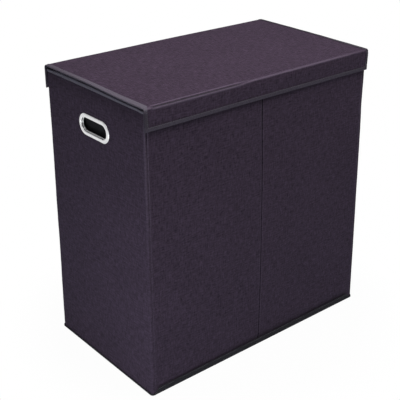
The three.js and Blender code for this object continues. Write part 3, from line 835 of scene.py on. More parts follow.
def rim_tuck(z):
    """Just under the rim's tape the cloth is drawn in a little."""
    return -0.8 * MM * ease(wall_high - 22 * MM, wall_high - 6 * MM, z)


def ring_press(a, z):
    """The grommet presses the cloth in round its flange, and the cloth swells just outside it."""
    core = np.clip(a, -slot_core, slot_core)
    away = np.hypot(a - core, z - SLOT_Z) - slot_radius - 8.3 * MM
    return -0.35 * MM * (1 - ease(-1 * MM, 1.5 * MM, away)) + 0.3 * MM * bell(away - 5 * MM, 4 * MM)


# %% End panels
def end_panel(side, turn, seed):
    """The left end panel, or the right one, which is built like it and turned half way round."""
    end, bend = PANEL_END, PANEL_FLAT
    a = spaced((-end, 0.5 * MM), (-end + 4 * MM, 0.8 * MM), (-bend + 3 * MM, 4 * MM),
               (-WINDOW_A, 3.2 * MM), (WINDOW_A, 4 * MM),
               (bend - 3 * MM, 0.8 * MM), (end - 4 * MM, 0.5 * MM), (end, 0))
    z = spaced((wall_low, 4 * MM), (SLOT_Z - WINDOW_Z, 3.2 * MM), (SLOT_Z + WINDOW_Z, 3 * MM),
               (wall_high, 0))
    flat, faces = holed_grid(a, z, COLLAR + CUT_ROOM)
    a, z = flat[:, 0], flat[:, 1]
    gap = end - np.abs(a)
    relief = seam_relief(gap, z, seed) + wall_swell(a, z, seed) + ring_press(a, z) + rim_tuck(z)
    relief = np.maximum(relief, -BOARD_ROOM - lean(side, z))
    outer, inner = (joined(*(turn * v for v in wrap_corners(a, z, out, side)), z)
                    for out in (relief, relief - CLOTH))
    # A pale line on the rounded corner, partly rubbing and mostly painted highlight, stronger higher up;
    # painted shade in the seam.
    corner_pale = 0.08 + 0.4 * ease(*PALE_UPPER, z)
    wear_and_painted_light = corner_pale * bell(np.abs(a) - bend - CORNER * math.pi / 4, 2.6 * MM) + seam_shade(gap, z)
    # Painted shade on the cloth just below the rim's tape.
    wear_and_painted_light = wear_and_painted_light - 0.25 * ease(600 * MM, 634 * MM, z)
    return closed_sheet(outer, inner, faces, flat + 0.7), wear_and_painted_light


for side, turn, seed in (("left", 1, 37), ("right", -1, 41)):
    shape, wear_and_painted_light = end_panel(side, turn, seed)
    cloth = add_piece(f"{side}_cloth", shape, cover_cloth, "cover_cloth", "body",
                      [f"{side}_cover"], wear_and_painted_light)
print("end panels:", {k: made[k] for k in ("left_cloth", "right_cloth")})

# %% [markdown]
# ## Linings
# Inside, each wall has a thin black non-woven lining. The two end linings have the same slot as
# the cloth outside. They are flat sheets with a little slack, so each is one grid with a slow
# swell towards the inside, and the ones with a slot use the holed grid again.

# %% Wall linings
def lining_slack(a, z, seed):
    """How far a lining stands off its board: a slow swell, never below zero."""
    return 0.03 * MM * (1 + swell(a, z, 140 * MM, seed)).clip(0)


def wall_lining(node, seed):
    """A front or back lining on the plane of its node."""
    low, high = node_box(node)
    inward = -np.sign(low[1])
    x = spaced((low[0], 6 * MM), (high[0], 0))
    z = spaced((low[2], 6 * MM), (high[2], 0))
    z, x = np.meshgrid(z, x, indexing="ij")
    near = high[1] if inward > 0 else low[1]
    inner = joined(x, near + inward * lining_slack(x, z, seed), z)
    return sheet_grid(inner, joined(x, near - inward * LINING, z), joined(x, z))


def end_lining(node, seed):
    """An end lining with the slot, on the plane of its node."""
    low, high = node_box(node)
    inward = -np.sign(low[0])
    a = spaced((low[1], 6 * MM), (-WINDOW_A, 3.2 * MM), (WINDOW_A, 6 * MM), (high[1], 0))
    z = spaced((low[2], 6 * MM), (SLOT_Z - WINDOW_Z, 3.2 * MM), (SLOT_Z + WINDOW_Z, 6 * MM),
               (high[2], 0))
    flat, faces = holed_grid(a, z, COLLAR + CUT_ROOM)
    near = high[0] if inward > 0 else low[0]
    inner = joined(near + inward * lining_slack(*flat.T, seed), *flat.T)
    return closed_sheet(inner, joined(near - inward * LINING, *flat.T), faces, flat + 0.3)


for seed, face in enumerate(("front", "back", "left", "right")):
    node = f"{face}_lining"
    shape = wall_lining(node, seed) if face in ("front", "back") else end_lining(node, seed)
    sheet = add_piece(f"{face}_lining_cloth", shape, lining_cloth, "lining_cloth", "body", [node])
    low, high = node_box(node)
print("linings:", [name for name in made if name.endswith("lining_cloth")])

# %% Floor cloth and base cloth
def level_sheet(node, seed, slack, radius=0.0):
    """A sheet that lies level in its node's box, its upper face dipped by a slow swell. Where the
    sheet has round corners, points outside them are drawn in, and its sides follow the walls."""
    low, high = node_box(node)
    x, y = (spaced((low[k], 1.5 * MM), (low[k] + 12 * MM, 8 * MM), (high[k] - 12 * MM, 1.5 * MM),
                   (high[k], 0)) for k in (0, 1))
    y, x = np.meshgrid(y, x, indexing="ij")
    core_x, core_y = (np.clip(v, low[k] + radius, high[k] - radius) for k, v in ((0, x), (1, y)))
    away = np.maximum(np.hypot(x - core_x, y - core_y), 1e-9)
    pulled = np.where((core_x != x) & (core_y != y), np.minimum(radius / away, 1), 1)
    x, y = core_x + (x - core_x) * pulled, core_y + (y - core_y) * pulled
    if radius:
        x, y = spread(x, y, 0.0, 0.0)
    dip = slack * (0.5 + 0.5 * swell(x, y, 120 * MM, seed)).clip(0, 1)
    return sheet_grid(joined(x, y, high[2] - dip), joined(x, y, low[2]), joined(x, y))


LEVEL_SHEETS = {
    "floor_cloth": (lining_cloth, "lining_cloth", (0.15 * MM,)),
    "base_cloth": (band_cloth, "base_band_cloth", (0.1 * MM, FOOT_CORNER)),
}
for node, (finish, slot, facts) in LEVEL_SHEETS.items():
    low, high = node_box(node)
    shape = level_sheet(node, 7, *facts)
    sheet = add_piece(node.replace("_cloth", "_sheet"), shape, finish, slot, "body", [node])
print("level sheets:", {name: made[name] for name in ("floor_sheet", "base_sheet")})

# %% [markdown]
# ## Bound edges
# A binding is a flat tape folded over the raw edge of a panel and stitched through. Its section is
# the letter U: a leg down each face and a round turn over the edge. The section is written once, as
# shares that follow the panel's thickness, and carried along each edge. A row of real stitches,
# each one a small stretched ball, is laid along the leg.

# %% The folded tape's section
TURN_DEPTH = 1.7 * MM


def tape_section(width, legs=7, turns=13):
    """For each point across the tape: how far in from the edge the outer and the inner face lie,
    and how far up from the middle of the panel, as a share from 1 to -1. The legs are straight and
    the turn is half an ellipse."""
    leg = np.linspace(width, TURN_DEPTH, legs, endpoint=False)
    angle = np.linspace(math.pi / 2, -math.pi / 2, turns)
    outer_in = np.concatenate([leg, TURN_DEPTH * (1 - np.cos(angle)), leg[::-1]])
    inner_in = np.concatenate([leg, TAPE + (TURN_DEPTH - TAPE) * (1 - np.cos(angle)), leg[::-1]])
    share = np.concatenate([np.ones(legs), np.sin(angle), -np.ones(legs)])
    return outer_in, inner_in, share


def tape_sheet(faces, run, outer_in, share, thick, turned=False, round_rows=False):
    """A folded tape round a panel of some thickness, from the grids of its two faces. Its UV map
    is the length run along the edge and the length across the tape. A turned tape's faces are laid
    the other way round."""
    steps = np.hypot(np.diff(outer_in), np.diff(share) * thick / 2)
    across = np.concatenate([[0], np.cumsum(steps)])
    outer, inner = (face[:, ::-1] for face in faces) if turned else faces
    return sheet_grid(outer, inner, joined(run[:, None], across), round_rows)


# %% Stitches
def ball_faces():
    """The points and faces of a ball made from a cube with each side cut in four."""
    steps = np.array([-1.0, 0.0, 1.0])
    points, faces = [], []
    for axis in range(3):
        for sign in (-1.0, 1.0):
            u, v = np.meshgrid(steps, steps, indexing="ij")
            side = np.zeros((3, 3, 3))
            side[..., axis], side[..., (axis + 1) % 3], side[..., (axis + 2) % 3] = sign, u, v
            quads = grid_faces(3, 3) + 9 * len(points)
            points.append(side.reshape(-1, 3))
            faces.append(quads if sign < 0 else quads[:, ::-1])
    points = np.concatenate(points)
    points, index = np.unique(points.round(6), axis=0, return_inverse=True)
    points /= np.linalg.norm(points, axis=1, keepdims=True)
    return points, index.ravel()[np.concatenate(faces)]


BALL_POINTS, BALL_FACES = ball_faces()
STITCH_PITCH, STITCH_LONG, STITCH_WIDE, STITCH_HIGH = 3.6 * MM, 2.7 * MM, 0.62 * MM, 0.42 * MM
STITCH_IN = 1.8 * MM


def running_length(points):
    """The length run along the points, from zero at the first."""
    return np.concatenate([[0], np.cumsum(np.linalg.norm(np.diff(points, axis=0), axis=1))])


# %% Rows of stitches
def stitch_row(line, normal, round_row=False, pitch=STITCH_PITCH, long=STITCH_LONG, slant=0.0):
    """Stitches along a line of points that lie on cloth with the given normals. Places a pitch
    apart are found along the line, and at each one a ball is stretched along it, or at a slant to
    it, flattened towards the cloth and half sunk in it."""
    if round_row:
        line, normal = np.concatenate([line, line[:1]]), np.concatenate([normal, normal[:1]])
    run = running_length(line)
    count = max(2, int(run[-1] / pitch))
    at = (np.arange(count) + 0.5) * run[-1] / count
    pick = lambda rows, where: np.stack([np.interp(where, run, rows[:, k]) for k in range(3)], 1)
    along = pick(line, at + STITCH_LONG / 4) - pick(line, at - STITCH_LONG / 4)
    along /= np.linalg.norm(along, axis=1, keepdims=True)
    up = pick(normal, at)
    up -= along * (up * along).sum(1, keepdims=True)
    up /= np.linalg.norm(up, axis=1, keepdims=True)
    along = math.cos(slant) * along + math.sin(slant) * np.cross(up, along)
    axes = np.stack([along * long / 2, np.cross(up, along) * STITCH_WIDE / 2, up * STITCH_HIGH / 2], 1)
    points = pick(line, at)[:, None, :] + np.einsum("pk,nkc->npc", BALL_POINTS, axes)
    faces = BALL_FACES[None] + (np.arange(count) * len(BALL_POINTS))[:, None, None]
    return points.reshape(-1, 3), faces.reshape(-1, 4)


def together(*shapes):
    """Several shapes as one, each with its own UV places or none."""
    points, faces, uv, count = [], [], [], 0
    for shape in shapes:
        points.append(shape[0])
        faces.append(shape[1] + count)
        uv.append(shape[2] if len(shape) > 2 else shape[0][:, :2])
        count += len(shape[0])
    return np.concatenate(points), np.concatenate(faces), np.concatenate(uv)


print("a stitch has", len(BALL_FACES), "faces")

# %% Stations round a rectangle
def around(long_half, short_half, radius, step, turn_steps):
    """Stations round a rectangle with round corners, anticlockwise. Each has a middle and an
    outward direction, so the point n outside the outline is middle + (radius + n) * direction."""
    a, b = long_half - radius, short_half - radius
    corners = np.array([[a, b], [-a, b], [-a, -b], [a, -b]])
    middles, angles = [], []
    for k in range(4):
        start, end = corners[k - 1], corners[k]
        count = max(1, math.ceil(np.linalg.norm(end - start) / step))
        shares = np.linspace(0, 1, count, endpoint=False)[:, None]
        middles.append(start + (end - start) * shares)
        angles.append(np.full(count, k * math.pi / 2))
        middles.append(np.repeat(end[None], turn_steps, 0))
        angles.append(k * math.pi / 2 + np.linspace(0, math.pi / 2, turn_steps, endpoint=False))
    angles = np.concatenate(angles)
    return np.concatenate(middles), joined(np.cos(angles), np.sin(angles))


def level_normals(direction):
    """Level directions as normals in space, with no height."""
    return joined(*direction.T, 0)


# %% Rim binding
RIM_WAVE, RIM_PAINTED_LIGHT = 0.12 * MM, 1.1
RIM_STEP, RIM_RISE, RIM_DIP = 0.9 * MM, 3.4 * MM, 0.6 * MM
RIM_STITCH_LONG, RIM_STITCH_UP, RIM_STITCH_SLANT = 4.2 * MM, 2.5 * MM, math.radians(68)


def bound_rim(middle, direction, radius, top, width, low, high, seed, longer=0.0):
    """A tape folded over an upright rim. Across the wall it reaches from low to high, measured
    outwards from the outline, and from the top it comes down by its width and what it is longer."""
    stretch = 1 + np.broadcast_to(longer, len(middle))[:, None] / width
    outer_in, inner_in, share = tape_section(width)
    half, centre = (high - low) / 2, (high + low) / 2
    run = running_length(middle + (radius + high) * direction)
    wave = RIM_WAVE * swell(run[:, None], outer_in[None, :], 45 * MM, seed)
    grids = []
    for inwards, reach in ((outer_in, half), (inner_in, half - TAPE)):
        out = centre + share * reach + wave * np.abs(share)
        flat = middle[:, None] + (radius + out)[..., None] * direction[:, None]
        grids.append(np.concatenate([flat, (top[:, None] - inwards * stretch)[..., None]], -1))
    return tape_sheet(grids, run, outer_in, share, high - low, round_rows=True), grids[0]


def rim_lift(middle, direction):
    """How much higher the rim's binding stands, and how much longer it is: along the left end it
    has a small step at the front corner and a long rise after it, half of which is lost again at
    the back. At the front right corner it dips, which leaves room for the raised lip."""
    y = middle[:, 1]
    lift = RIM_STEP * ease(-166 * MM, -152 * MM, y) + RIM_RISE * ease(-135 * MM, 20 * MM, y)
    lift = lift * (1 - 0.5 * ease(120 * MM, 165 * MM, y)) * np.maximum(-direction[:, 0], 0) ** 2
    dip = ease(280 * MM, 294 * MM, middle[:, 0]) * ease(0, 0.5, -direction[:, 1])
    return lift - RIM_DIP * dip, 0.7 * np.maximum(lift - RIM_STEP, 0)


middle, direction = around(half_x, half_y, CORNER, 5 * MM, 7)
rim_rise, rim_longer = rim_lift(middle, direction)
rim_width = rim_high - rim_low
rim_shape, rim_face = bound_rim(middle, direction, CORNER, rim_high + rim_rise, rim_width,
                                -wall_thick - tape_proud, tape_proud, 51, rim_longer)
# The whole rim tape is mixed towards its pale colour: painted highlight.
rim_painted_light = np.full(rim_face.shape[:2], RIM_PAINTED_LIGHT)
rim = add_piece("rim_binding", rim_shape, tape_cloth, "binding_tape", "body", ["rim_tape"], rim_painted_light)
rim_line = np.concatenate([middle + (CORNER + tape_proud + 0.05 * MM) * direction,
                           (rim_low + rim_rise - rim_longer + RIM_STITCH_UP)[:, None]], 1)
rim_row = stitch_row(rim_line, level_normals(direction), True, pitch=3.3 * MM, long=RIM_STITCH_LONG,
                     slant=RIM_STITCH_SLANT)
add_piece("rim_stitches", together(rim_row), thread_finish, "binding_tape", "body")
print("rim binding and stitches:", made["rim_binding"], made["rim_stitches"])

# %% [markdown]
# ## The base band
# A strip of black cloth covers the foot of the walls. It stands 15 mm high along the front and
# back, and falls to a narrow edge before each corner and along the ends. Its section is a closed
# loop, thin with a rounded upper edge and fullest low down, and both the section and the path
# close on themselves.

# %% Base band
BAND_FRONT, BAND_SIDE, BAND_FALL = 15.0 * MM, 4.0 * MM, 16.0 * MM
BAND_NEAR, BAND_FAR, BAND_FULL = 0.25 * MM, node_box("base_band")[1][0] - half_x, 0.6 * MM


def band_height(x):
    """15 mm in the middle, falling by a smooth step to 4 mm at the corner's start."""
    return BAND_SIDE + (BAND_FRONT - BAND_SIDE) * ease(0, BAND_FALL, half_x - CORNER - np.abs(x))


def base_band():
    """A flat loop carried round the foot. Across it, four straight sides with quarter turns; the
    two upper turns are as wide as half the band, so the upper edge is round like a folded hem."""
    middle, direction = around(half_x, half_y, FOOT_CORNER, 3 * MM, 9)
    angle = np.linspace(0, math.pi, 9)
    thick = BAND_FAR - BAND_NEAR
    out = np.concatenate([[BAND_FAR - 0.3 * MM, BAND_FAR], np.full(6, BAND_FAR),
                          BAND_NEAR + thick / 2 * (1 + np.cos(angle)), np.full(6, BAND_NEAR)])
    level = np.concatenate([[0, 0.02], np.linspace(0.1, 0.88, 6), np.full(9, 1.0),
                            np.linspace(0.88, 0.0, 6)])
    drop = np.concatenate([np.zeros(8), thick / 2 * (1 - np.sin(angle)), np.zeros(6)])
    height = band_height(middle[:, 0])[:, None]
    run = running_length(middle + FOOT_CORNER * direction)[:, None]
    z = np.maximum(level * height - drop, 0)
    wave = 0.16 * MM * swell(run, z, 55 * MM, 61) * ease(0, 0.3, level)
    full = BAND_FULL * bell(z - 6 * MM, 4 * MM) * ease(6 * MM, 14 * MM, height)
    outside = out > BAND_NEAR + 0.1 * MM
    core = np.stack(spread(middle[:, :1], middle[:, 1:], z, FOOT_CORNER), -1)
    flat = core + (FOOT_CORNER + out + (wave + full) * outside)[..., None] * direction[:, None]
    points = np.concatenate([flat, z[..., None]], -1)
    uv = joined(run, np.where(out > BAND_NEAR, z, -z))
    faces = grid_faces(len(middle), len(out), True, True)
    sewn = height - 2.4 * MM
    line = np.concatenate([*spread(middle[:, :1], middle[:, 1:], sewn, FOOT_CORNER), sewn], 1)
    line[:, :2] += (FOOT_CORNER + BAND_FAR + 0.02 * MM) * direction
    stitches = stitch_row(line, level_normals(direction), True)
    area = float(np.sum(height[:, 0] * np.gradient(run[:, 0])))
    return (points.reshape(-1, 3), faces, uv.reshape(-1, 2)), stitches, run[-1, 0], area


band_shape, band_stitches, band_girth, band_area = base_band()
band = add_piece("base_binding", band_shape, band_cloth, "base_band_cloth", "body", ["base_band"])
add_piece("base_stitches", together(band_stitches), thread_finish, "base_band_cloth", "body")
print("base band faces:", made["base_binding"])

# %% [markdown]
# ## Grommets
# The hand hole is lined by a two-piece grommet of satin nickel. Each half is a domed flange with a
# collar, and the two collars meet inside the wall. The half's section is a closed curve through a
# few points in millimetres, rounded by a Catmull-Rom spline, and it is carried round the slot. The
# frame's own rings are faceted, so these finer ones stand for them.

# %% Ring section
RING_CREST_MM = [(0.35, 1.45), (1.1, 2.1), (2.1, 2.36), (3.4, 2.34), (5.0, 2.1), (6.5, 1.7), (7.6, 1.2),
                 (8.15, 0.75), (8.3, 0.36), (8.15, 0.06)]
RING_FACES_MM = {
    "outer": [(0.0, -2.1), (0.0, -0.9), (0.0, 0.5)] + RING_CREST_MM,
    "inner": [(0.5, -2.3), (-0.5, -2.3), (-1.0, -1.9), (-1.0, -1.2), (-0.7, -0.2), (-0.2, 0.7)]
             + RING_CREST_MM,
}
RING_BACK_MM = [(6.6, 0.0), (4.0, 0.0), (1.6, 0.0), (1.2, -0.3), (1.2, -1.2), (1.2, -2.1)]


def smooth_curve(points, parts):
    """A Catmull-Rom spline through the points: each span is the cubic that passes through its two
    ends with slopes taken from their neighbours."""
    p = np.array(points, float)
    padded = np.concatenate([2 * p[:1] - p[1:2], p, 2 * p[-1:] - p[-2:-1]])
    t = np.linspace(0, 1, parts, endpoint=False)[:, None, None]
    a, b, c, d = (padded[k:k + len(p) - 1][None] for k in range(4))
    spans = 0.5 * (2 * b + (c - a) * t + (2 * a - 5 * b + 4 * c - d) * t ** 2
                   + (3 * b - a - 3 * c + d) * t ** 3)
    return np.concatenate([spans.transpose(1, 0, 2).reshape(-1, 2), p[-1:]])


def grommet_half(side, inside):
    """The section's points are (distance out from the slot, height above the wall's face). The
    inner half's collar has a small rolled lip, which shows as a bright line inside the slot."""
    front = smooth_curve(RING_FACES_MM["inner" if inside else "outer"], 4) * MM
    section = np.concatenate([front, np.array(RING_BACK_MM) * MM])
    middle, direction = around(SLOT_LONG / 2, SLOT_HIGH / 2, SLOT_HIGH / 2 - 0.001 * MM, 3 * MM, 20)
    flat = middle[:, None] + (slot_radius + section[None, :, :1]) * direction[:, None]
    x = half_x - wall_thick - section[:, 1] if inside else half_x + section[:, 1]
    points = joined(side * x, flat[..., 0], SLOT_Z + flat[..., 1])
    uv = joined(running_length(middle)[:, None], running_length(section))
    faces = grid_faces(len(middle), len(section), True, True)
    return points.reshape(-1, 3), faces, uv.reshape(-1, 2)


for side, name in ((-1, "left"), (1, "right")):
    for inside, place in ((False, "outer"), (True, "inner")):
        add_piece(f"{name}_{place}_grommet", grommet_half(side, inside), satin_nickel, "ring_metal",
                  "body", [f"{name}_handle_{place}_ring"])
print("grommet faces:", made["left_outer_grommet"])

# %% [markdown]
# ## The lid and its two soft creases
# The lid is one cloth that runs from the front lip over the lid board and down into the back lip.
# At the front it turns down round a soft crease, and at the back round another one, which is the
# hinge. The flat middle rides on the lid. Each end is worked out as a strip that is flat, then a
# quarter circle, then straight down, so a layer of the lid is a height above that strip: the cloth
# is the upper layer, the lining the lower one, and the binding goes round both.

# %% Lid planes and the slight warp of the board
lid_high = node_box("lid_cover")[1]
LID_HALF = lid_high[0]
TAPE_HALF = node_box("lid_right_tape")[1][0]
LID_FACE, LID_UNDER = lid_high[2], node_box("lid_lining")[0][2]
FRONT_FACE, BACK_FACE = -node_box("front_lip_cover")[0][1], node_box("back_lip_cover")[1][1]
FRONT_BACKING, BACK_BACKING = -node_box("front_lip_lining")[1][1], node_box("back_lip_lining")[0][1]
LIP_LOW = node_box("front_lip_cover")[0][2]
TAPE_UP = node_box("lid_left_tape")[1][2] - LID_FACE
CREASE, FLAT_HALF = 5.0 * MM, 163.0 * MM
LID_LIFT_LEFT, LID_LIFT_BACK, LID_LIFT_RIGHT = 1.0 * MM, 1.9 * MM, 1.1 * MM
LEFT_HUMP, LEFT_HUMP_AT, BACK_BOW, BACK_BOW_AT = 2.0 * MM, 20 * MM, 3.15 * MM, -38 * MM
PINCH_TOP, PINCH_UNDER, PINCH_WIDE = 0.8 * MM, 2.1 * MM, 14 * MM
BOARD_STOP, SWELL_FADE = (-7 * MM, 1 * MM), (0, 25 * MM)


def warp(x, y):
    """The board has warped: its left edge lifts, most at the back corner and a little half way
    along, its right edge hardly, and both fade towards the middle of the lid. The back edge bows up
    over the crease, and a slow swell runs over the whole board."""
    along = np.cos(np.clip(y / (FLAT_HALF + 22 * MM), -1, 1) * math.pi / 2) ** 2
    rise = LID_LIFT_LEFT + LID_LIFT_BACK * ease(-FLAT_HALF, FLAT_HALF, y)
    hump = LEFT_HUMP * bell(y - LEFT_HUMP_AT, 80 * MM)
    left = (rise + hump) * bell(x + TAPE_HALF, 150 * MM)
    bow = BACK_BOW * bell(x - BACK_BOW_AT, 250 * MM) * ease(0, FLAT_HALF, y)
    right = LID_LIFT_RIGHT * bell(x - TAPE_HALF, 130 * MM) * along
    return left + right + bow + 0.4 * MM * swell(x, y, 300 * MM, 71) * along


def pinch(x, amount):
    """The lid gets thinner at its side edges, past the end of the board: how far a face comes in
    towards the middle, by a smooth step over 14 mm."""
    return amount * (1 - ease(0, PINCH_WIDE, TAPE_HALF - np.abs(x)))


print("lid's face is at", round(LID_FACE / MM, 1), "mm and its lip's edge at", round(LIP_LOW / MM, 1))

# %% The strip over a crease
LIP_FALL = 1.2 * MM


def strip_over(sign, face):
    """For one end of the lid, a function from (x, s, n) to points. s is the length run from the
    flat middle's edge: flat, then a quarter circle, then down the lip. n is the height above the
    cloth's face. sign is -1 at the front, where the lip also hangs a little lower at the right, and
    1 at the back."""
    flat = face - CREASE - FLAT_HALF
    turn = CREASE * math.pi / 2

    def place(x, s, n):
        angle = np.clip((s - flat) / CREASE, 0, math.pi / 2)
        y = FLAT_HALF + np.minimum(s, flat) + (CREASE + n) * np.sin(angle)
        down = np.maximum(s - flat - turn, 0)
        z = LID_FACE - CREASE + (CREASE + n) * np.cos(angle) - down
        z = z - LIP_FALL * ease(-60 * MM, 300 * MM, x) * ease(0, 40 * MM, down) * (sign < 0)
        z = z + warp(x, sign * np.minimum(y, FLAT_HALF + flat)) * (1 - ease(0, 30 * MM, s - flat))
        return joined(x, sign * y, z)

    length = flat + turn + (LID_FACE - CREASE - LIP_LOW)
    return place, flat, turn, length


front_place, front_flat, front_turn, front_length = strip_over(-1, FRONT_FACE)
back_place, back_flat, back_turn, back_length = strip_over(1, BACK_FACE)
print("front strip runs", round(front_length / MM, 1), "mm from the flat of the lid to the lip's edge")


def backing(s, flat, turn, lip_backing):
    """The height of the lining's lower face: the lid's thickness below the cloth on the lid, close
    under it round the crease where there is no board, and the lip's thickness down the lip."""
    lid, crease = LID_UNDER - LID_FACE, -1.7 * MM
    near = ease(*BOARD_STOP, s - flat)
    past = ease(-1 * MM, 7 * MM, s - flat - turn)
    return lid + (crease - lid) * near + (lip_backing - crease) * past


# %% Front fold of the cloth
RIDGE_AT, TRENCH_AT, SECOND_RIDGE_AT = 8.2 * MM, 13.2 * MM, 17.2 * MM
BINDING_WIDE, END_BINDING_WIDE, LID_BINDING_WIDE = 9.2 * MM, 7.4 * MM, 12.6 * MM


def split_share(x):
    """Where the front fold shows as two lines: from the left corner to the left of the middle."""
    return ease(-300 * MM, -285 * MM, x) * (1 - ease(-95 * MM, -30 * MM, x))


def front_fold(x, s):
    """Relief of the cloth at the front crease. At the left the cloth falls into the gap between
    the lid's board and the lip's board, a ridge, a trench and the fold itself. Towards the right
    the trench closes and leaves one broad round edge. A groove runs under the fold, and a fine one
    along the binding."""
    split = split_share(x)
    ridge = 0.45 * MM * bell(s - RIDGE_AT, 1.5 * MM) + 0.3 * MM * bell(s - SECOND_RIDGE_AT, 1.4 * MM)
    trench = -1.4 * MM * bell(s - TRENCH_AT, 1.6 * MM)
    broad = -0.5 * MM * bell(s - front_flat - front_turn * 0.5, 6.0 * MM)
    under = -0.5 * MM * bell(s - front_flat - front_turn - 1.5 * MM, 1.6 * MM)
    groove = -0.45 * MM * bell(s - front_length + BINDING_WIDE + 1.4 * MM, 1.1 * MM)
    return split * (ridge + trench) + (0.25 + 0.75 * (1 - split)) * broad + under + groove


def strip_stations(flat, turn, length, start, end):
    """Stations along a strip from start to end, fine round the crease and coarse down the lip."""
    stations = spaced((start, 0.8 * MM), (flat + turn + 4 * MM, 2.2 * MM), (length, 0))
    return np.unique(np.concatenate([[start], stations[(stations > start) & (stations < end)], [end]]))


lid_x = spaced((-LID_HALF, 1.5 * MM), (-LID_HALF + 12 * MM, 4 * MM), (LID_HALF - 12 * MM, 1.5 * MM),
               (LID_HALF, 0))
LIP_WAVE, LIP_TUCK = 0.25 * MM, 1.1 * MM


def lip_wave(x, s, flat, turn, seed, tuck=0.0):
    """The lip isn't stiff: it leans in and out a little along its length, more at its free edge,
    and away from its left end it is tucked in."""
    tucked = tuck * ease(-250 * MM, 50 * MM, x)
    return (LIP_WAVE * swell(x, 0 * s, 170 * MM, seed) - tucked) * ease(0, 40 * MM, s - flat - turn)


# %% Layers of the strip
def strip_layer(place, sign, x, s, top, bottom):
    """A sheet over part of a strip, between two heights. Each is a function with a distance to
    add to it."""
    s, x = np.meshgrid(s, x, indexing="ij")
    upper, lower = (place(x, s, height(x, s) + more) for height, more in (top, bottom))
    return sheet_grid(upper, lower, joined(x, sign * (FLAT_HALF + s)))


def on_lid(s, flat, turn):
    """1 on the lid, falling to 0 down the lip, for the pinch that only the lid has."""
    return 1 - ease(0, 8 * MM, s - flat - turn / 2)


def front_top(x, s):
    """The height of the front cloth's face: its fold, its slow wave and the pinched ends."""
    thin = pinch(x, PINCH_TOP) * on_lid(s, front_flat, front_turn)
    return front_fold(x, s) + lip_wave(x, s, front_flat, front_turn, 81, LIP_TUCK) - thin


def front_under(x, s):
    """The height of the front lining's lower face, which follows the cloth above it."""
    thick = backing(s, front_flat, front_turn, FRONT_BACKING - FRONT_FACE)
    thin = pinch(x, PINCH_UNDER) * (1 - ease(*BOARD_STOP, s - front_flat))
    return thick + lip_wave(x, s, front_flat, front_turn, 81, LIP_TUCK) + thin


# %% The front lip's cloth, lining and board
front_s = strip_stations(front_flat, front_turn, front_length, 0.0, front_length)
front_cloth_shape = strip_layer(front_place, -1, lid_x, front_s, (front_top, 0), (front_top, -CLOTH))
flat_s, flat_x = np.meshgrid(front_s, lid_x, indexing="ij")
front_split = split_share(flat_x)
# Painted highlights along the crease's ridges and round edge, weaker to the right, and painted shade in
# its trench.
broad_highlight = (1 - front_split) * (1 - 0.5 * ease(180 * MM, 290 * MM, flat_x))
crease_painted_light = (bell(flat_s - SECOND_RIDGE_AT + 0.5 * MM, 2.0 * MM) * front_split
              + 0.9 * bell(flat_s - front_flat - 3.5 * MM, 2.6 * MM) * broad_highlight
              + bell(flat_s - RIDGE_AT, 1.9 * MM) * front_split
              - 0.25 * bell(flat_s - TRENCH_AT, 1.2 * MM) * front_split)
front_lip_cloth = add_piece("front_lip_cloth", front_cloth_shape, cover_cloth, "cover_cloth",
                            stands_for=["front_lip_cover", "front_crease_cloth"], wear_and_painted_light=crease_painted_light)
front_lining_shape = strip_layer(front_place, -1, lid_x, front_s, (front_under, LINING), (front_under, 0))
front_lip_lining = add_piece("front_lip_lining_cloth", front_lining_shape, lining_cloth, "lining_cloth",
                             stands_for=["front_lip_lining"])
lip_low, lip_high = node_box("front_lip_board")
LIP_BOARD_IN = 0.1 * MM
lip_down = front_flat + front_turn + LID_FACE - CREASE
lip_s = spaced((lip_down - lip_high[2], 4 * MM), (lip_down - lip_low[2], 0))
lip_x = lid_x[np.abs(lid_x) < lip_high[0]]
lip_board_shape = strip_layer(front_place, -1, lip_x, lip_s, (front_top, -CLOTH - LIP_BOARD_IN),
                              (front_under, LINING + LIP_BOARD_IN))
add_piece("bowed_lip_board", lip_board_shape, chipboard, "stiffener_board", "front_lip",
          ["front_lip_board"])
for strip in (front_lip_cloth, front_lip_lining):
    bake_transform(strip)
print("front lip cloth faces:", made["front_lip_cloth"])

# %% The flat of the lid
BOARD_INSET, BOARD_DOWN, BOARD_THINNER = 13 * MM, 0.12 * MM, 0.2 * MM


def lid_layer(level, thickness, pinched, relief_depth, x=lid_x):
    """A sheet over the flat of the lid, its upper face at a level. It follows the warp of the
    board, and at the side edges it comes down by the pinched amount, or up where that is negative."""
    y = spaced((-FLAT_HALF, 5 * MM), (FLAT_HALF, 0))
    y, x = np.meshgrid(y, x, indexing="ij")
    relief = relief_depth * swell(x, y, 50 * MM, 91) * ease(*SWELL_FADE, FLAT_HALF - np.abs(y))
    face = level + warp(x, y) + relief - pinch(x, pinched)
    return sheet_grid(joined(x, y, face), joined(x, y, face - thickness), joined(x, y))


lid_cloth = add_piece("lid_cloth", lid_layer(LID_FACE, CLOTH, PINCH_TOP, 0.12 * MM),
                      cover_cloth, "cover_cloth", "lid", ["lid_cover"])
lid_under = add_piece("lid_lining_cloth", lid_layer(LID_UNDER + LINING, LINING, -PINCH_UNDER, 0.06 * MM),
                      lining_cloth, "lining_cloth", "lid", ["lid_lining"])
board_low, board_high = node_box("lid_board")
board_x = lid_x[np.abs(lid_x) < LID_HALF - BOARD_INSET]
board_thick = board_high[2] - board_low[2] - BOARD_THINNER
board_shape = lid_layer(board_high[2] - BOARD_DOWN, board_thick, 0, 0.0, board_x)
add_piece("warped_lid_board", board_shape, chipboard, "stiffener_board", "lid", ["lid_board"])
print("lid cloth and board faces:", made["lid_cloth"], made["warped_lid_board"])

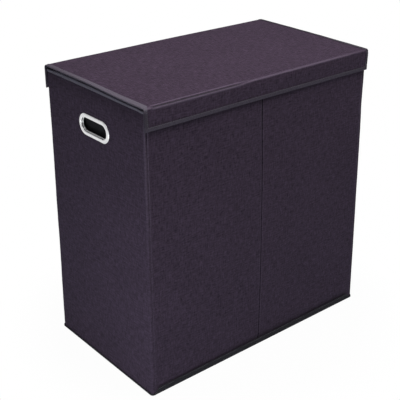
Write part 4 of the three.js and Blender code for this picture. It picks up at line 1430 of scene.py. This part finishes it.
# %% [markdown]
# ## The back lip and the hinge crease
# The lid opens right over the back, so the crease turns by more than a half turn. The frame has a
# small body in the middle of the crease with a joint on each side of it, and a cloth can bend across
# one joint at a time. The back strip is cut along the middle of the crease, where the cut edges
# meet, into an upper part from the lid to the middle of the crease and a lower part from there down
# the back lip.

# %% Back strip
def back_top(x, s):
    """The height of the back cloth's face: it sinks a little in the middle of the crease."""
    soft = -0.7 * MM * bell(s - back_flat - back_turn / 2, 5 * MM)
    thin = pinch(x, PINCH_TOP) * on_lid(s, back_flat, back_turn)
    return soft + lip_wave(x, s, back_flat, back_turn, 85) * 0.4 - thin


def back_under(x, s):
    """The height of the back lining's lower face."""
    thick = backing(s, back_flat, back_turn, BACK_BACKING - BACK_FACE)
    thin = pinch(x, PINCH_UNDER) * (1 - ease(*BOARD_STOP, s - back_flat))
    return thick + lip_wave(x, s, back_flat, back_turn, 85) * 0.4 + thin


BACK_CUT = back_flat + back_turn / 2
BACK_PARTS = {
    "upper": (strip_stations(back_flat, back_turn, back_length, 0.0, BACK_CUT), "lid",
              (0, FLAT_HALF + back_flat - 3 * MM, LID_FACE),
              (0, FLAT_HALF + back_flat + 2 * MM, LID_FACE)),
    "lower": (strip_stations(back_flat, back_turn, back_length, BACK_CUT, back_length), "body",
              (0, BACK_FACE, LID_FACE - CREASE - 3 * MM), (0, BACK_FACE, LID_FACE - CREASE + 2 * MM)),
}
BACK_NODES = {
    ("cloth", "upper"): ["rear_crease_cloth"],
    ("cloth", "lower"): ["back_lip_cover"],
    ("lining", "lower"): ["back_lip_lining"],
}


def back_strip(kind, part):
    """One part of the back strip's cloth or lining."""
    s, body, start, end = BACK_PARTS[part]
    if kind == "cloth":
        shape = strip_layer(back_place, 1, lid_x, s, (back_top, 0), (back_top, -CLOTH))
        finish, slot = cover_cloth, "cover_cloth"
    else:
        shape = strip_layer(back_place, 1, lid_x, s, (back_under, LINING), (back_under, 0))
        finish, slot = lining_cloth, "lining_cloth"
    strip = add_piece(f"back_{part}_{kind}", shape, finish, slot,
                      stands_for=BACK_NODES.get((kind, part), ()))
    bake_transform(strip)
    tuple(start)
    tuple(end)


for kind in ("cloth", "lining"):
    for part in BACK_PARTS:
        back_strip(kind, part)
print("back strips:", [name for name in made if name.startswith("back_")])

# %% [markdown]
# ## The lid's binding
# One tape goes all round the lid: along both side edges, down the ends of each lip and along its
# free edge, with mitred corners. On the strip's flat plan the lip is a rectangle, and the binding is
# three runs with slanted ends that meet on the mitres. A point in from the edge by w on the end run
# is (edge - w, s), and on the free edge run (x, length - w), and the run's length shrinks with w.

# %% Widths of the binding
MITRE_DEEP, MITRE_HALF, LIP_THICK, TAPE_CUT = 0.35 * MM, 0.8 * MM, 6 * MM, 24 * MM


def lid_tape_width(y):
    """The tape along the lid's side was folded unevenly: less of it shows towards the back."""
    return LID_BINDING_WIDE - 3.2 * MM * ease(-FLAT_HALF, 20 * MM, y)


def run_width(s, flat, length, sign):
    """The end run's width: that of the lid's side binding on the lid, narrower down the lip, and as
    wide as the free edge's tape at the mitre."""
    mitre = ease(length - 16 * MM, length - 9 * MM, s)
    on_lip = END_BINDING_WIDE + (BINDING_WIDE - END_BINDING_WIDE) * mitre
    return on_lip + (lid_tape_width(sign * FLAT_HALF) - on_lip) * (1 - ease(-2 * MM, 6 * MM, s - flat))


# %% Runs of binding
def strip_binding(strip, side, top, bottom, start, end, with_mitre):
    """The run along one end of a strip. Its stations go from start to end, and with a mitre the
    run at w in from the edge stops w short of the free edge. The height of each point of the tape
    is that of the cloth under it."""
    place, flat, length, sign = strip
    s = spaced((start, 1.1 * MM), (end, 0))
    outer_in, inner_in, share = tape_section(BINDING_WIDE)
    wide = (run_width(s, flat, length, sign) / BINDING_WIDE)[:, None]
    grids = []
    for inwards, layer in ((outer_in, 0.0), (inner_in, TAPE)):
        stop = length + TAPE_UP - inwards if with_mitre else np.full(len(inwards), end)
        run = start + (s[:, None] - start) * (stop[None] - start) / (end - start)
        x = side * (TAPE_HALF - np.where(inwards > TURN_DEPTH, inwards * wide, inwards))
        high, low = top(x, run) + TAPE_UP - layer, bottom(x, run) - TAPE_UP + layer
        mitre = -MITRE_DEEP * bell(stop[None] - run, MITRE_HALF) * with_mitre
        height = (high + low) / 2 + share * (high - low) / 2
        grids.append(place(x, run, height + mitre * np.abs(share)))
    return tape_sheet(grids, s, outer_in, share, LIP_THICK, turned=side < 0)


def edge_binding(strip, top, bottom):
    """The run along the free edge of a lip, its two ends cut back to the mitres."""
    place, _, length, _ = strip
    x = np.linspace(-1, 1, 150)[:, None]
    outer_in, inner_in, share = tape_section(BINDING_WIDE)
    high = top(x * TAPE_HALF, length + 0 * x) + TAPE_UP
    low = bottom(x * TAPE_HALF, length + 0 * x) - TAPE_UP
    half = (high - low) / 2
    mitre = -MITRE_DEEP * bell((1 - np.abs(x)) * TAPE_HALF, MITRE_HALF)
    grids = []
    for inwards, reach in ((outer_in, half), (inner_in, half - TAPE)):
        height = (high + low) / 2 + share * reach + mitre * np.abs(share)
        grids.append(place(x * (TAPE_HALF - inwards), length + TAPE_UP - inwards, height))
    return tape_sheet(grids, x[:, 0] * TAPE_HALF, outer_in, share, LIP_THICK)


# %% Front lip binding
TAPE_HIGHLIGHT = 0.66


def tape_painted_light(shape):
    """Painted light on the tape where it lies on the lid: a painted highlight along the left side,
    less towards the back, and painted shade along the right side. Down the ends of the lips it is
    mixed towards the dark colour."""
    points = shape[0]
    fading = 1 - 0.55 * ease(-20 * MM, 160 * MM, points[:, 1])
    # Painted highlight on the left side's tape, painted shade on the right side's.
    pale = np.where(points[:, 0] < 0, TAPE_HIGHLIGHT * fading, -0.35)
    pale = pale * ease(LID_FACE - 7 * MM, LID_FACE - 1 * MM, points[:, 2])
    darker_ends = ease(TAPE_HALF - 10 * MM, TAPE_HALF - 8 * MM, np.abs(points[:, 0]))
    darker_ends = darker_ends * (1 - ease(LID_FACE - 12 * MM, LID_FACE - 6 * MM, points[:, 2]))
    return pale - 0.3 * darker_ends * ease(LIP_LOW + 7 * MM, LIP_LOW + 11 * MM, points[:, 2])


front_strip = (front_place, front_flat, front_length, -1)
back_strip_facts = (back_place, back_flat, back_length, 1)
front_runs = [strip_binding(front_strip, side, front_top, front_under, 0.0, front_length, 1)
              for side in (-1, 1)]
front_edge = edge_binding(front_strip, front_top, front_under)
front_shape = together(*front_runs, front_edge)
front_binding = add_piece("front_lip_binding", front_shape, tape_cloth, "binding_tape",
                          stands_for=["front_lip_tape"], wear_and_painted_light=tape_painted_light(front_shape))
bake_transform(front_binding)


def stitches_on_strip(place, x, s, top):
    """Stitches on the outer face of a strip's binding, along a line of (x, s) places."""
    height = top(x, s) + TAPE_UP + 0.03 * MM
    line, above = place(x, s, height), place(x, s, height + 1 * MM)
    return stitch_row(line, above - line)


inset = BINDING_WIDE - STITCH_IN
edge_x = np.linspace(-TAPE_HALF + inset, TAPE_HALF - inset, 160)
edge_line = stitches_on_strip(front_place, edge_x, np.full(160, front_length - inset), front_top)
end_s = np.linspace(0, front_length - inset, 40)
end_in = run_width(end_s, *front_strip[1:]) - STITCH_IN
end_lines = [stitches_on_strip(front_place, side * (TAPE_HALF - end_in), end_s, front_top)
             for side in (-1, 1)]
front_stitches = add_piece("front_lip_stitches", together(edge_line, *end_lines), thread_finish,
                           "binding_tape")
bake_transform(front_stitches)
print("front lip binding faces:", made["front_lip_binding"])

# %% Back lip binding
for part, (s, body, start, end) in BACK_PARTS.items():
    free_edge = part == "lower"
    runs = [strip_binding(back_strip_facts, side, back_top, back_under, s[0], s[-1], free_edge)
            for side in (-1, 1)]
    lines_s = np.linspace(s[0], s[-1] - (inset if free_edge else 0), 30)
    lines_in = run_width(lines_s, *back_strip_facts[1:]) - STITCH_IN
    rows = [stitches_on_strip(back_place, side * (TAPE_HALF - lines_in), lines_s, back_top)
            for side in (-1, 1)]
    if free_edge:
        runs.append(edge_binding(back_strip_facts, back_top, back_under))
        rows.append(stitches_on_strip(back_place, edge_x, np.full(160, back_length - inset), back_top))
    shape = together(*runs)
    stands_for = ["back_lip_tape"] if free_edge else ()
    binding = add_piece(f"back_{part}_binding", shape, tape_cloth, "binding_tape",
                        stands_for=stands_for, wear_and_painted_light=tape_painted_light(shape))
    row_piece = add_piece(f"back_{part}_stitches", together(*rows), thread_finish, "binding_tape")
    for piece in (binding, row_piece):
        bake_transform(piece)
        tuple(start)
        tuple(end)
print("back lip binding faces:", made["back_lower_binding"])

# %% Side bindings of the lid
def lid_binding(side):
    """The run along the flat of the lid, following its warp and its thinner edge."""
    y = spaced((-FLAT_HALF, 4 * MM), (FLAT_HALF, 0))
    outer_in, inner_in, share = tape_section(LID_BINDING_WIDE)
    half, middle = (LID_FACE + TAPE_UP - (LID_UNDER - TAPE_UP)) / 2, (LID_FACE + LID_UNDER) / 2
    x_edge, width = side * TAPE_HALF, lid_tape_width(y)
    wide = (width / LID_BINDING_WIDE)[:, None]
    grids = []
    for inwards, reach in ((outer_in, half), (inner_in, half - TAPE)):
        x = x_edge - side * np.where(inwards[None] > TURN_DEPTH, inwards[None] * wide, inwards[None])
        inside = ease(*SWELL_FADE, FLAT_HALF - np.abs(y))[:, None]
        wave = 0.15 * MM * swell(y[:, None], inwards[None], 40 * MM, 95 + side) * inside
        thin = np.where(share > 0, pinch(x, PINCH_TOP), pinch(x, PINCH_UNDER))
        z = middle + share * (reach - thin) + warp(x, y[:, None]) + wave * np.abs(share)
        grids.append(joined(x, y[:, None], z))
    shape = tape_sheet(grids, y, outer_in, share, 2 * half, turned=side > 0)
    line_x = x_edge - side * (width - STITCH_IN)
    line_z = LID_FACE + TAPE_UP + warp(line_x, y) - pinch(line_x, PINCH_TOP) + 0.03 * MM
    return shape, stitch_row(joined(line_x, y, line_z), np.array([[0, 0, 1.0]] * len(y)))


for side, name in ((-1, "left"), (1, "right")):
    shape, stitches = lid_binding(side)
    binding = add_piece(f"lid_{name}_binding", shape, tape_cloth, "binding_tape", "lid",
                        [f"lid_{name}_tape"], tape_painted_light(shape))
    add_piece(f"lid_{name}_stitches", together(stitches), thread_finish, "binding_tape", "lid")
print("lid bindings:", made["lid_left_binding"])

# %% [markdown]
# ## Hook-and-loop strips
# Strips of hook-and-loop tape hold the lid's rear lip to the wall and the bags to the lining. Each
# is a thin rectangle with rounded rims, cut from a long roll. The strip is a grid whose height falls
# off near its edges, as a woven strip with a sealed edge does.

# %% Strips and patches
def thin_strip(node, seed):
    """A strip that fills its node's box, thick across Y, with low domed faces and soft edges."""
    low, high = node_box(node)
    x = spaced((low[0], 1 * MM), (low[0] + 3 * MM, 4 * MM), (high[0] - 3 * MM, 1 * MM), (high[0], 0))
    z = spaced((low[2], 1 * MM), (high[2], 0))
    z, x = np.meshgrid(z, x, indexing="ij")
    edge = np.minimum.reduce([x - low[0], high[0] - x, z - low[2], high[2] - z])
    thick = (high[1] - low[1]) * (0.55 + 0.45 * ease(0, 1.6 * MM, edge)) / 2
    thick = thick - 0.03 * MM * (1 + swell(x, z, 3 * MM, seed)).clip(0)
    middle = (low[1] + high[1]) / 2
    return sheet_grid(joined(x, middle - thick, z), joined(x, middle + thick, z), joined(x, z))


STRIP_NODES = [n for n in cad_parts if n.endswith("_strip") or n.endswith("_patch")]
for seed, node in enumerate(sorted(STRIP_NODES)):
    low, high = node_box(node)
    strip = add_piece(f"{node}_tape", thin_strip(node, seed), hook_and_loop, "hook_and_loop", "body",
                      [node])
print("hook-and-loop pieces:", len(STRIP_NODES))

# %% [markdown]
# ## Liner bags
# Each bin holds a soft bag that hangs from its bound top edge, so its walls fall in slack folds and
# its foot spreads on the floor. A bag is one grid: a square patch for the floor, whose rings shrink
# to the middle, and rows of points that climb the walls. The walls are pushed inwards by slow
# upright folds that are strongest half way down, so the bag never passes its neighbours.

# %% Bag outline
BAG_CLOTH, BAG_EDGE = 1.0 * MM, 1.2 * MM
BAG_CORNER, BAG_FOOT = 16 * MM, 12 * MM
SIDE_CELLS = 56
BAG_SLACK = 7.0 * MM


def bag_outline(share, half_long, half_short):
    """Points round the bag's plan, a rectangle with round corners, at shares of the way round.
    Each quarter of the way runs from corner middle to corner middle, so the square patch's corners
    fall on the bag's corners."""
    middle, direction = around(half_long, half_short, BAG_CORNER, 1 * MM, 16)
    points = middle + BAG_CORNER * direction
    corner = [int(np.argmax(points @ np.array(d))) for d in ((1, 1), (-1, 1), (-1, -1), (1, -1))]
    points = np.roll(points, -corner[3], 0)
    corner = [(c - corner[3]) % len(points) for c in (corner[3], *corner[:3])] + [len(points)]
    points = np.concatenate([points, points[:1]])
    place = np.interp(share * 4, range(5), corner)
    return joined(*(np.interp(place, range(len(points)), points[:, k]) for k in (0, 1)))


def square_share(u, v):
    """Where a ray from the middle of a square through (u, v) meets its border, as the share of the
    way round from the lower right corner, anticlockwise."""
    biggest = np.maximum(np.maximum(np.abs(u), np.abs(v)), 1e-9)
    p, q = u / biggest, v / biggest
    right, top, left = p > 1 - 1e-6, q > 1 - 1e-6, p < -1 + 1e-6
    share = np.where(right, (q + 1) / 8, np.where(top, 0.25 + (1 - p) / 8,
                     np.where(left, 0.5 + (1 - q) / 8, 0.75 + (p + 1) / 8)))
    return share % 1, biggest * (np.maximum(np.abs(u), np.abs(v)) > 1e-8)


# %% Folds of a hanging bag
def hang(share, z, bottom, top, run, seed):
    """How far a bag's wall hangs inwards: zero at the bound top, upright folds that deepen below
    it, and a little slack left at the foot."""
    depth = ease(0, 0.22, top - z)
    foot = 0.35 + 0.65 * ease(0, 0.16, z - bottom)
    upright = 0.5 + 0.5 * swell(run, 0.12 * z, 105 * MM, seed)
    fine = 0.5 + 0.5 * swell(run, 0.25 * z, 42 * MM, seed + 1)
    creases = 0.5 + 0.5 * swell(run, z, 70 * MM, seed + 2)
    corner = np.abs((share * 4) % 1 - 0.5) * 2
    slack = BAG_SLACK * (0.55 * upright + 0.22 * fine + 0.2 * creases).clip(0) * (1 - 0.55 * corner ** 6)
    return slack * depth * foot


# %% Bag surface
def bag_grid(node, seed):
    """The bag's outer face as points, faces and UV places, plus its top row."""
    low, high = node_box(node)
    centre = (low[:2] + high[:2]) / 2
    half_long, half_short = (high[:2] - low[:2]) / 2
    cells = SIDE_CELLS
    step = np.linspace(-1, 1, cells + 1)
    v, u = np.meshgrid(step, step, indexing="ij")
    share, size = square_share(u.ravel(), v.ravel())
    foot_outline = bag_outline(share, half_long, half_short)
    foot_scale = 1 - BAG_FOOT / np.array([half_long, half_short])
    floor = centre + foot_outline * foot_scale * size[:, None]
    wrinkle = 1.2 * MM * (1 + swell(floor[:, 0], floor[:, 1], 70 * MM, seed + 5)).clip(0) * 0.5
    floor = joined(*floor.T, low[2] + wrinkle)
    border = np.concatenate([
        np.arange(cells) * (cells + 1) + cells,
        cells * (cells + 1) + np.arange(cells, 0, -1),
        np.arange(cells, 0, -1) * (cells + 1),
        np.arange(cells),
    ])
    around_share = np.arange(4 * cells) / (4 * cells)
    outline = bag_outline(around_share, half_long, half_short)
    run = running_length(outline)
    perimeter = run[-1] + np.linalg.norm(outline[0] - outline[-1])
    closing = np.cos(math.tau * run / perimeter), np.sin(math.tau * run / perimeter)
    angle = np.linspace(0, math.pi / 2, 7)[1:]
    height = np.concatenate([low[2] + BAG_FOOT * (1 - np.cos(angle)),
                             spaced((low[2] + BAG_FOOT, 9 * MM), (high[2], 0))[1:]])
    inset = np.concatenate([BAG_FOOT * (1 - np.sin(angle)), np.zeros(len(height) - 6)])
    ring = perimeter / math.tau
    folds = (hang(around_share, height[:, None], low[2], high[2], ring * closing[0], seed)
             + hang(around_share, height[:, None], low[2], high[2], ring * closing[1], seed + 9)) / 2
    pull = inset[:, None] + folds
    scale = 1 - pull[..., None] / np.array([half_long, half_short])
    flat = centre + outline[None] * scale
    wall = joined(flat[..., 0], flat[..., 1], height[:, None])
    base_count = len(floor)
    index = base_count + np.arange(wall.shape[0] * 4 * cells).reshape(wall.shape[0], -1)
    index = np.concatenate([border[None], index])
    after = np.roll(index, -1, 1)
    wall_faces = joined(index[:-1], after[:-1], after[1:], index[1:]).reshape(-1, 4)
    floor_faces = grid_faces(cells + 1, cells + 1)[:, ::-1]
    points = np.concatenate([floor, wall.reshape(-1, 3)])
    wall_uv = joined(run, height[:, None]).reshape(-1, 2)
    return points, np.concatenate([floor_faces, wall_faces]), np.concatenate([floor[:, :2] + 2, wall_uv])


def bag_shell(node, seed):
    """The bag's cloth: its outer face and the same face moved inwards by the cloth's thickness."""
    points, faces, uv = bag_grid(node, seed)
    inner = points - BAG_CLOTH * face_normals(points, faces)
    return closed_sheet(points, inner, faces, uv)


# %% The two bags
bag_boxes = {side: node_box(f"{side}_bag") for side in ("left", "right")}
for seed, side in ((101, "left"), (131, "right")):
    low, high = bag_boxes[side]
    bag = add_piece(f"{side}_liner_bag", bag_shell(f"{side}_bag", seed), bag_cloth, "bag_cloth", "body",
                    [f"{side}_bag"])
print("bag faces:", made["left_liner_bag"])

# %% Bound tops of the bags
def bag_binding(node, bag_node, seed):
    """The tape over a bag's top edge."""
    low, high = node_box(node)
    bag_low, bag_high = node_box(bag_node)
    centre = (bag_low[:2] + bag_high[:2]) / 2
    half_long, half_short = (bag_high[:2] - bag_low[:2]) / 2
    middle, direction = around(half_long, half_short, BAG_CORNER, 5 * MM, 10)
    top = np.full(len(middle), high[2])
    shape, face = bound_rim(middle + centre, direction, BAG_CORNER, top, high[2] - low[2],
                            -BAG_EDGE - tape_proud, tape_proud, seed)
    normal = level_normals(direction)
    line, inside = face[:, 1] + normal * 0.02 * MM, face[:, -2].copy()
    line[:, 2] = inside[:, 2] = low[2] + STITCH_IN
    return shape, together(stitch_row(line, normal, True), stitch_row(inside, -normal, True))


for seed, side in ((151, "left"), (157, "right")):
    shape, rows = bag_binding(f"{side}_bag_tape", f"{side}_bag", seed)
    low, high = bag_boxes[side]
    binding = add_piece(f"{side}_bag_binding", shape, tape_cloth, "binding_tape", "body",
                        [f"{side}_bag_tape"])
    add_piece(f"{side}_bag_stitches", rows, thread_finish, "binding_tape", "body")
print("bag binding faces:", made["left_bag_binding"])

# %% [markdown]
# ## Grab straps
# Each bag has a strap of webbing at its front and back, sewn down at both ends and standing off the
# cloth between them, so a hand fits behind it. The strap is a flat band: its middle line bows out
# from the wall as a cosine, sags a little under its own weight, and the tabs are held by a stitched
# box.

# %% Strap bands
STRAP_ARCH_HALF, STRAP_SAG, STRAP_THICK = 75 * MM, 3.0 * MM, 1.6 * MM
TAB_LONG, TAB_MARGIN = 26 * MM, 3.5 * MM


def strap_band(node, seed):
    """A band along x. Its face stands off the wall by half of 1 + cos over the arch, its edges are
    thinner than its middle, and the arch hangs down a little."""
    low, high = node_box(node)
    away = -np.sign(low[1])
    wall = high[1] if away < 0 else low[1]
    reach = (high[1] - low[1]) - STRAP_THICK
    centre = (low[0] + high[0]) / 2
    x = spaced((low[0], 2.5 * MM), (high[0], 0))
    across = np.concatenate([[0], np.linspace(0.04, 0.96, 13), [1.0]])
    across, x = np.meshgrid(across, x, indexing="ij")
    arch = (1 + np.cos(math.pi * np.clip((x - centre) / STRAP_ARCH_HALF, -1, 1))) / 2
    tilt = 0.4 * MM * swell(x, across * 0.02, 60 * MM, seed) * arch
    half = STRAP_THICK / 2 * (0.35 + 0.65 * ease(0, 0.07, np.minimum(across, 1 - across)))
    off_wall = reach * arch * (1 - 0.06 * (across - 0.5)) + STRAP_THICK / 2
    middle = wall + away * off_wall + away * tilt * 0.5
    z = low[2] + (high[2] - low[2]) * across - STRAP_SAG * arch
    near, far = joined(x, middle + away * half, z), joined(x, middle - away * half, z)
    return sheet_grid(near, far, joined(x, z))


# %% Sewn tabs and the four straps
def tab_stitches(node):
    """A square of stitches with its two diagonals on each sewn tab."""
    low, high = node_box(node)
    away = -np.sign(low[1])
    face = (high[1] if away < 0 else low[1]) + away * (STRAP_THICK + 0.02 * MM)
    z0, z1 = low[2] + TAB_MARGIN, high[2] - TAB_MARGIN
    rows = []
    for tab in (low[0], high[0] - TAB_LONG):
        x0, x1 = tab + TAB_MARGIN, tab + TAB_LONG - TAB_MARGIN
        for (ax, az), (bx, bz) in (((x0, z0), (x1, z0)), ((x1, z0), (x1, z1)), ((x1, z1), (x0, z1)),
                                   ((x0, z1), (x0, z0)), ((x0, z0), (x1, z1)), ((x0, z1), (x1, z0))):
            t = np.linspace(0, 1, 12)
            line = joined(ax + (bx - ax) * t, face, az + (bz - az) * t)
            rows.append(stitch_row(line, np.array([[0, away, 0.0]] * 12)))
    return together(*rows)


STRAP_NODES = sorted(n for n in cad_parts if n.endswith("_strap"))
for seed, node in enumerate(STRAP_NODES):
    low, high = node_box(node)
    strap = add_piece(f"{node}_webbing", strap_band(node, 161 + seed), webbing_cloth, "webbing", "body",
                      [node])
    add_piece(f"{node}_stitches", tab_stitches(node), thread_finish, "webbing", "body")
print("straps:", len(STRAP_NODES), "and pieces in all:", len(made), "with", sum(made.values()), "faces")
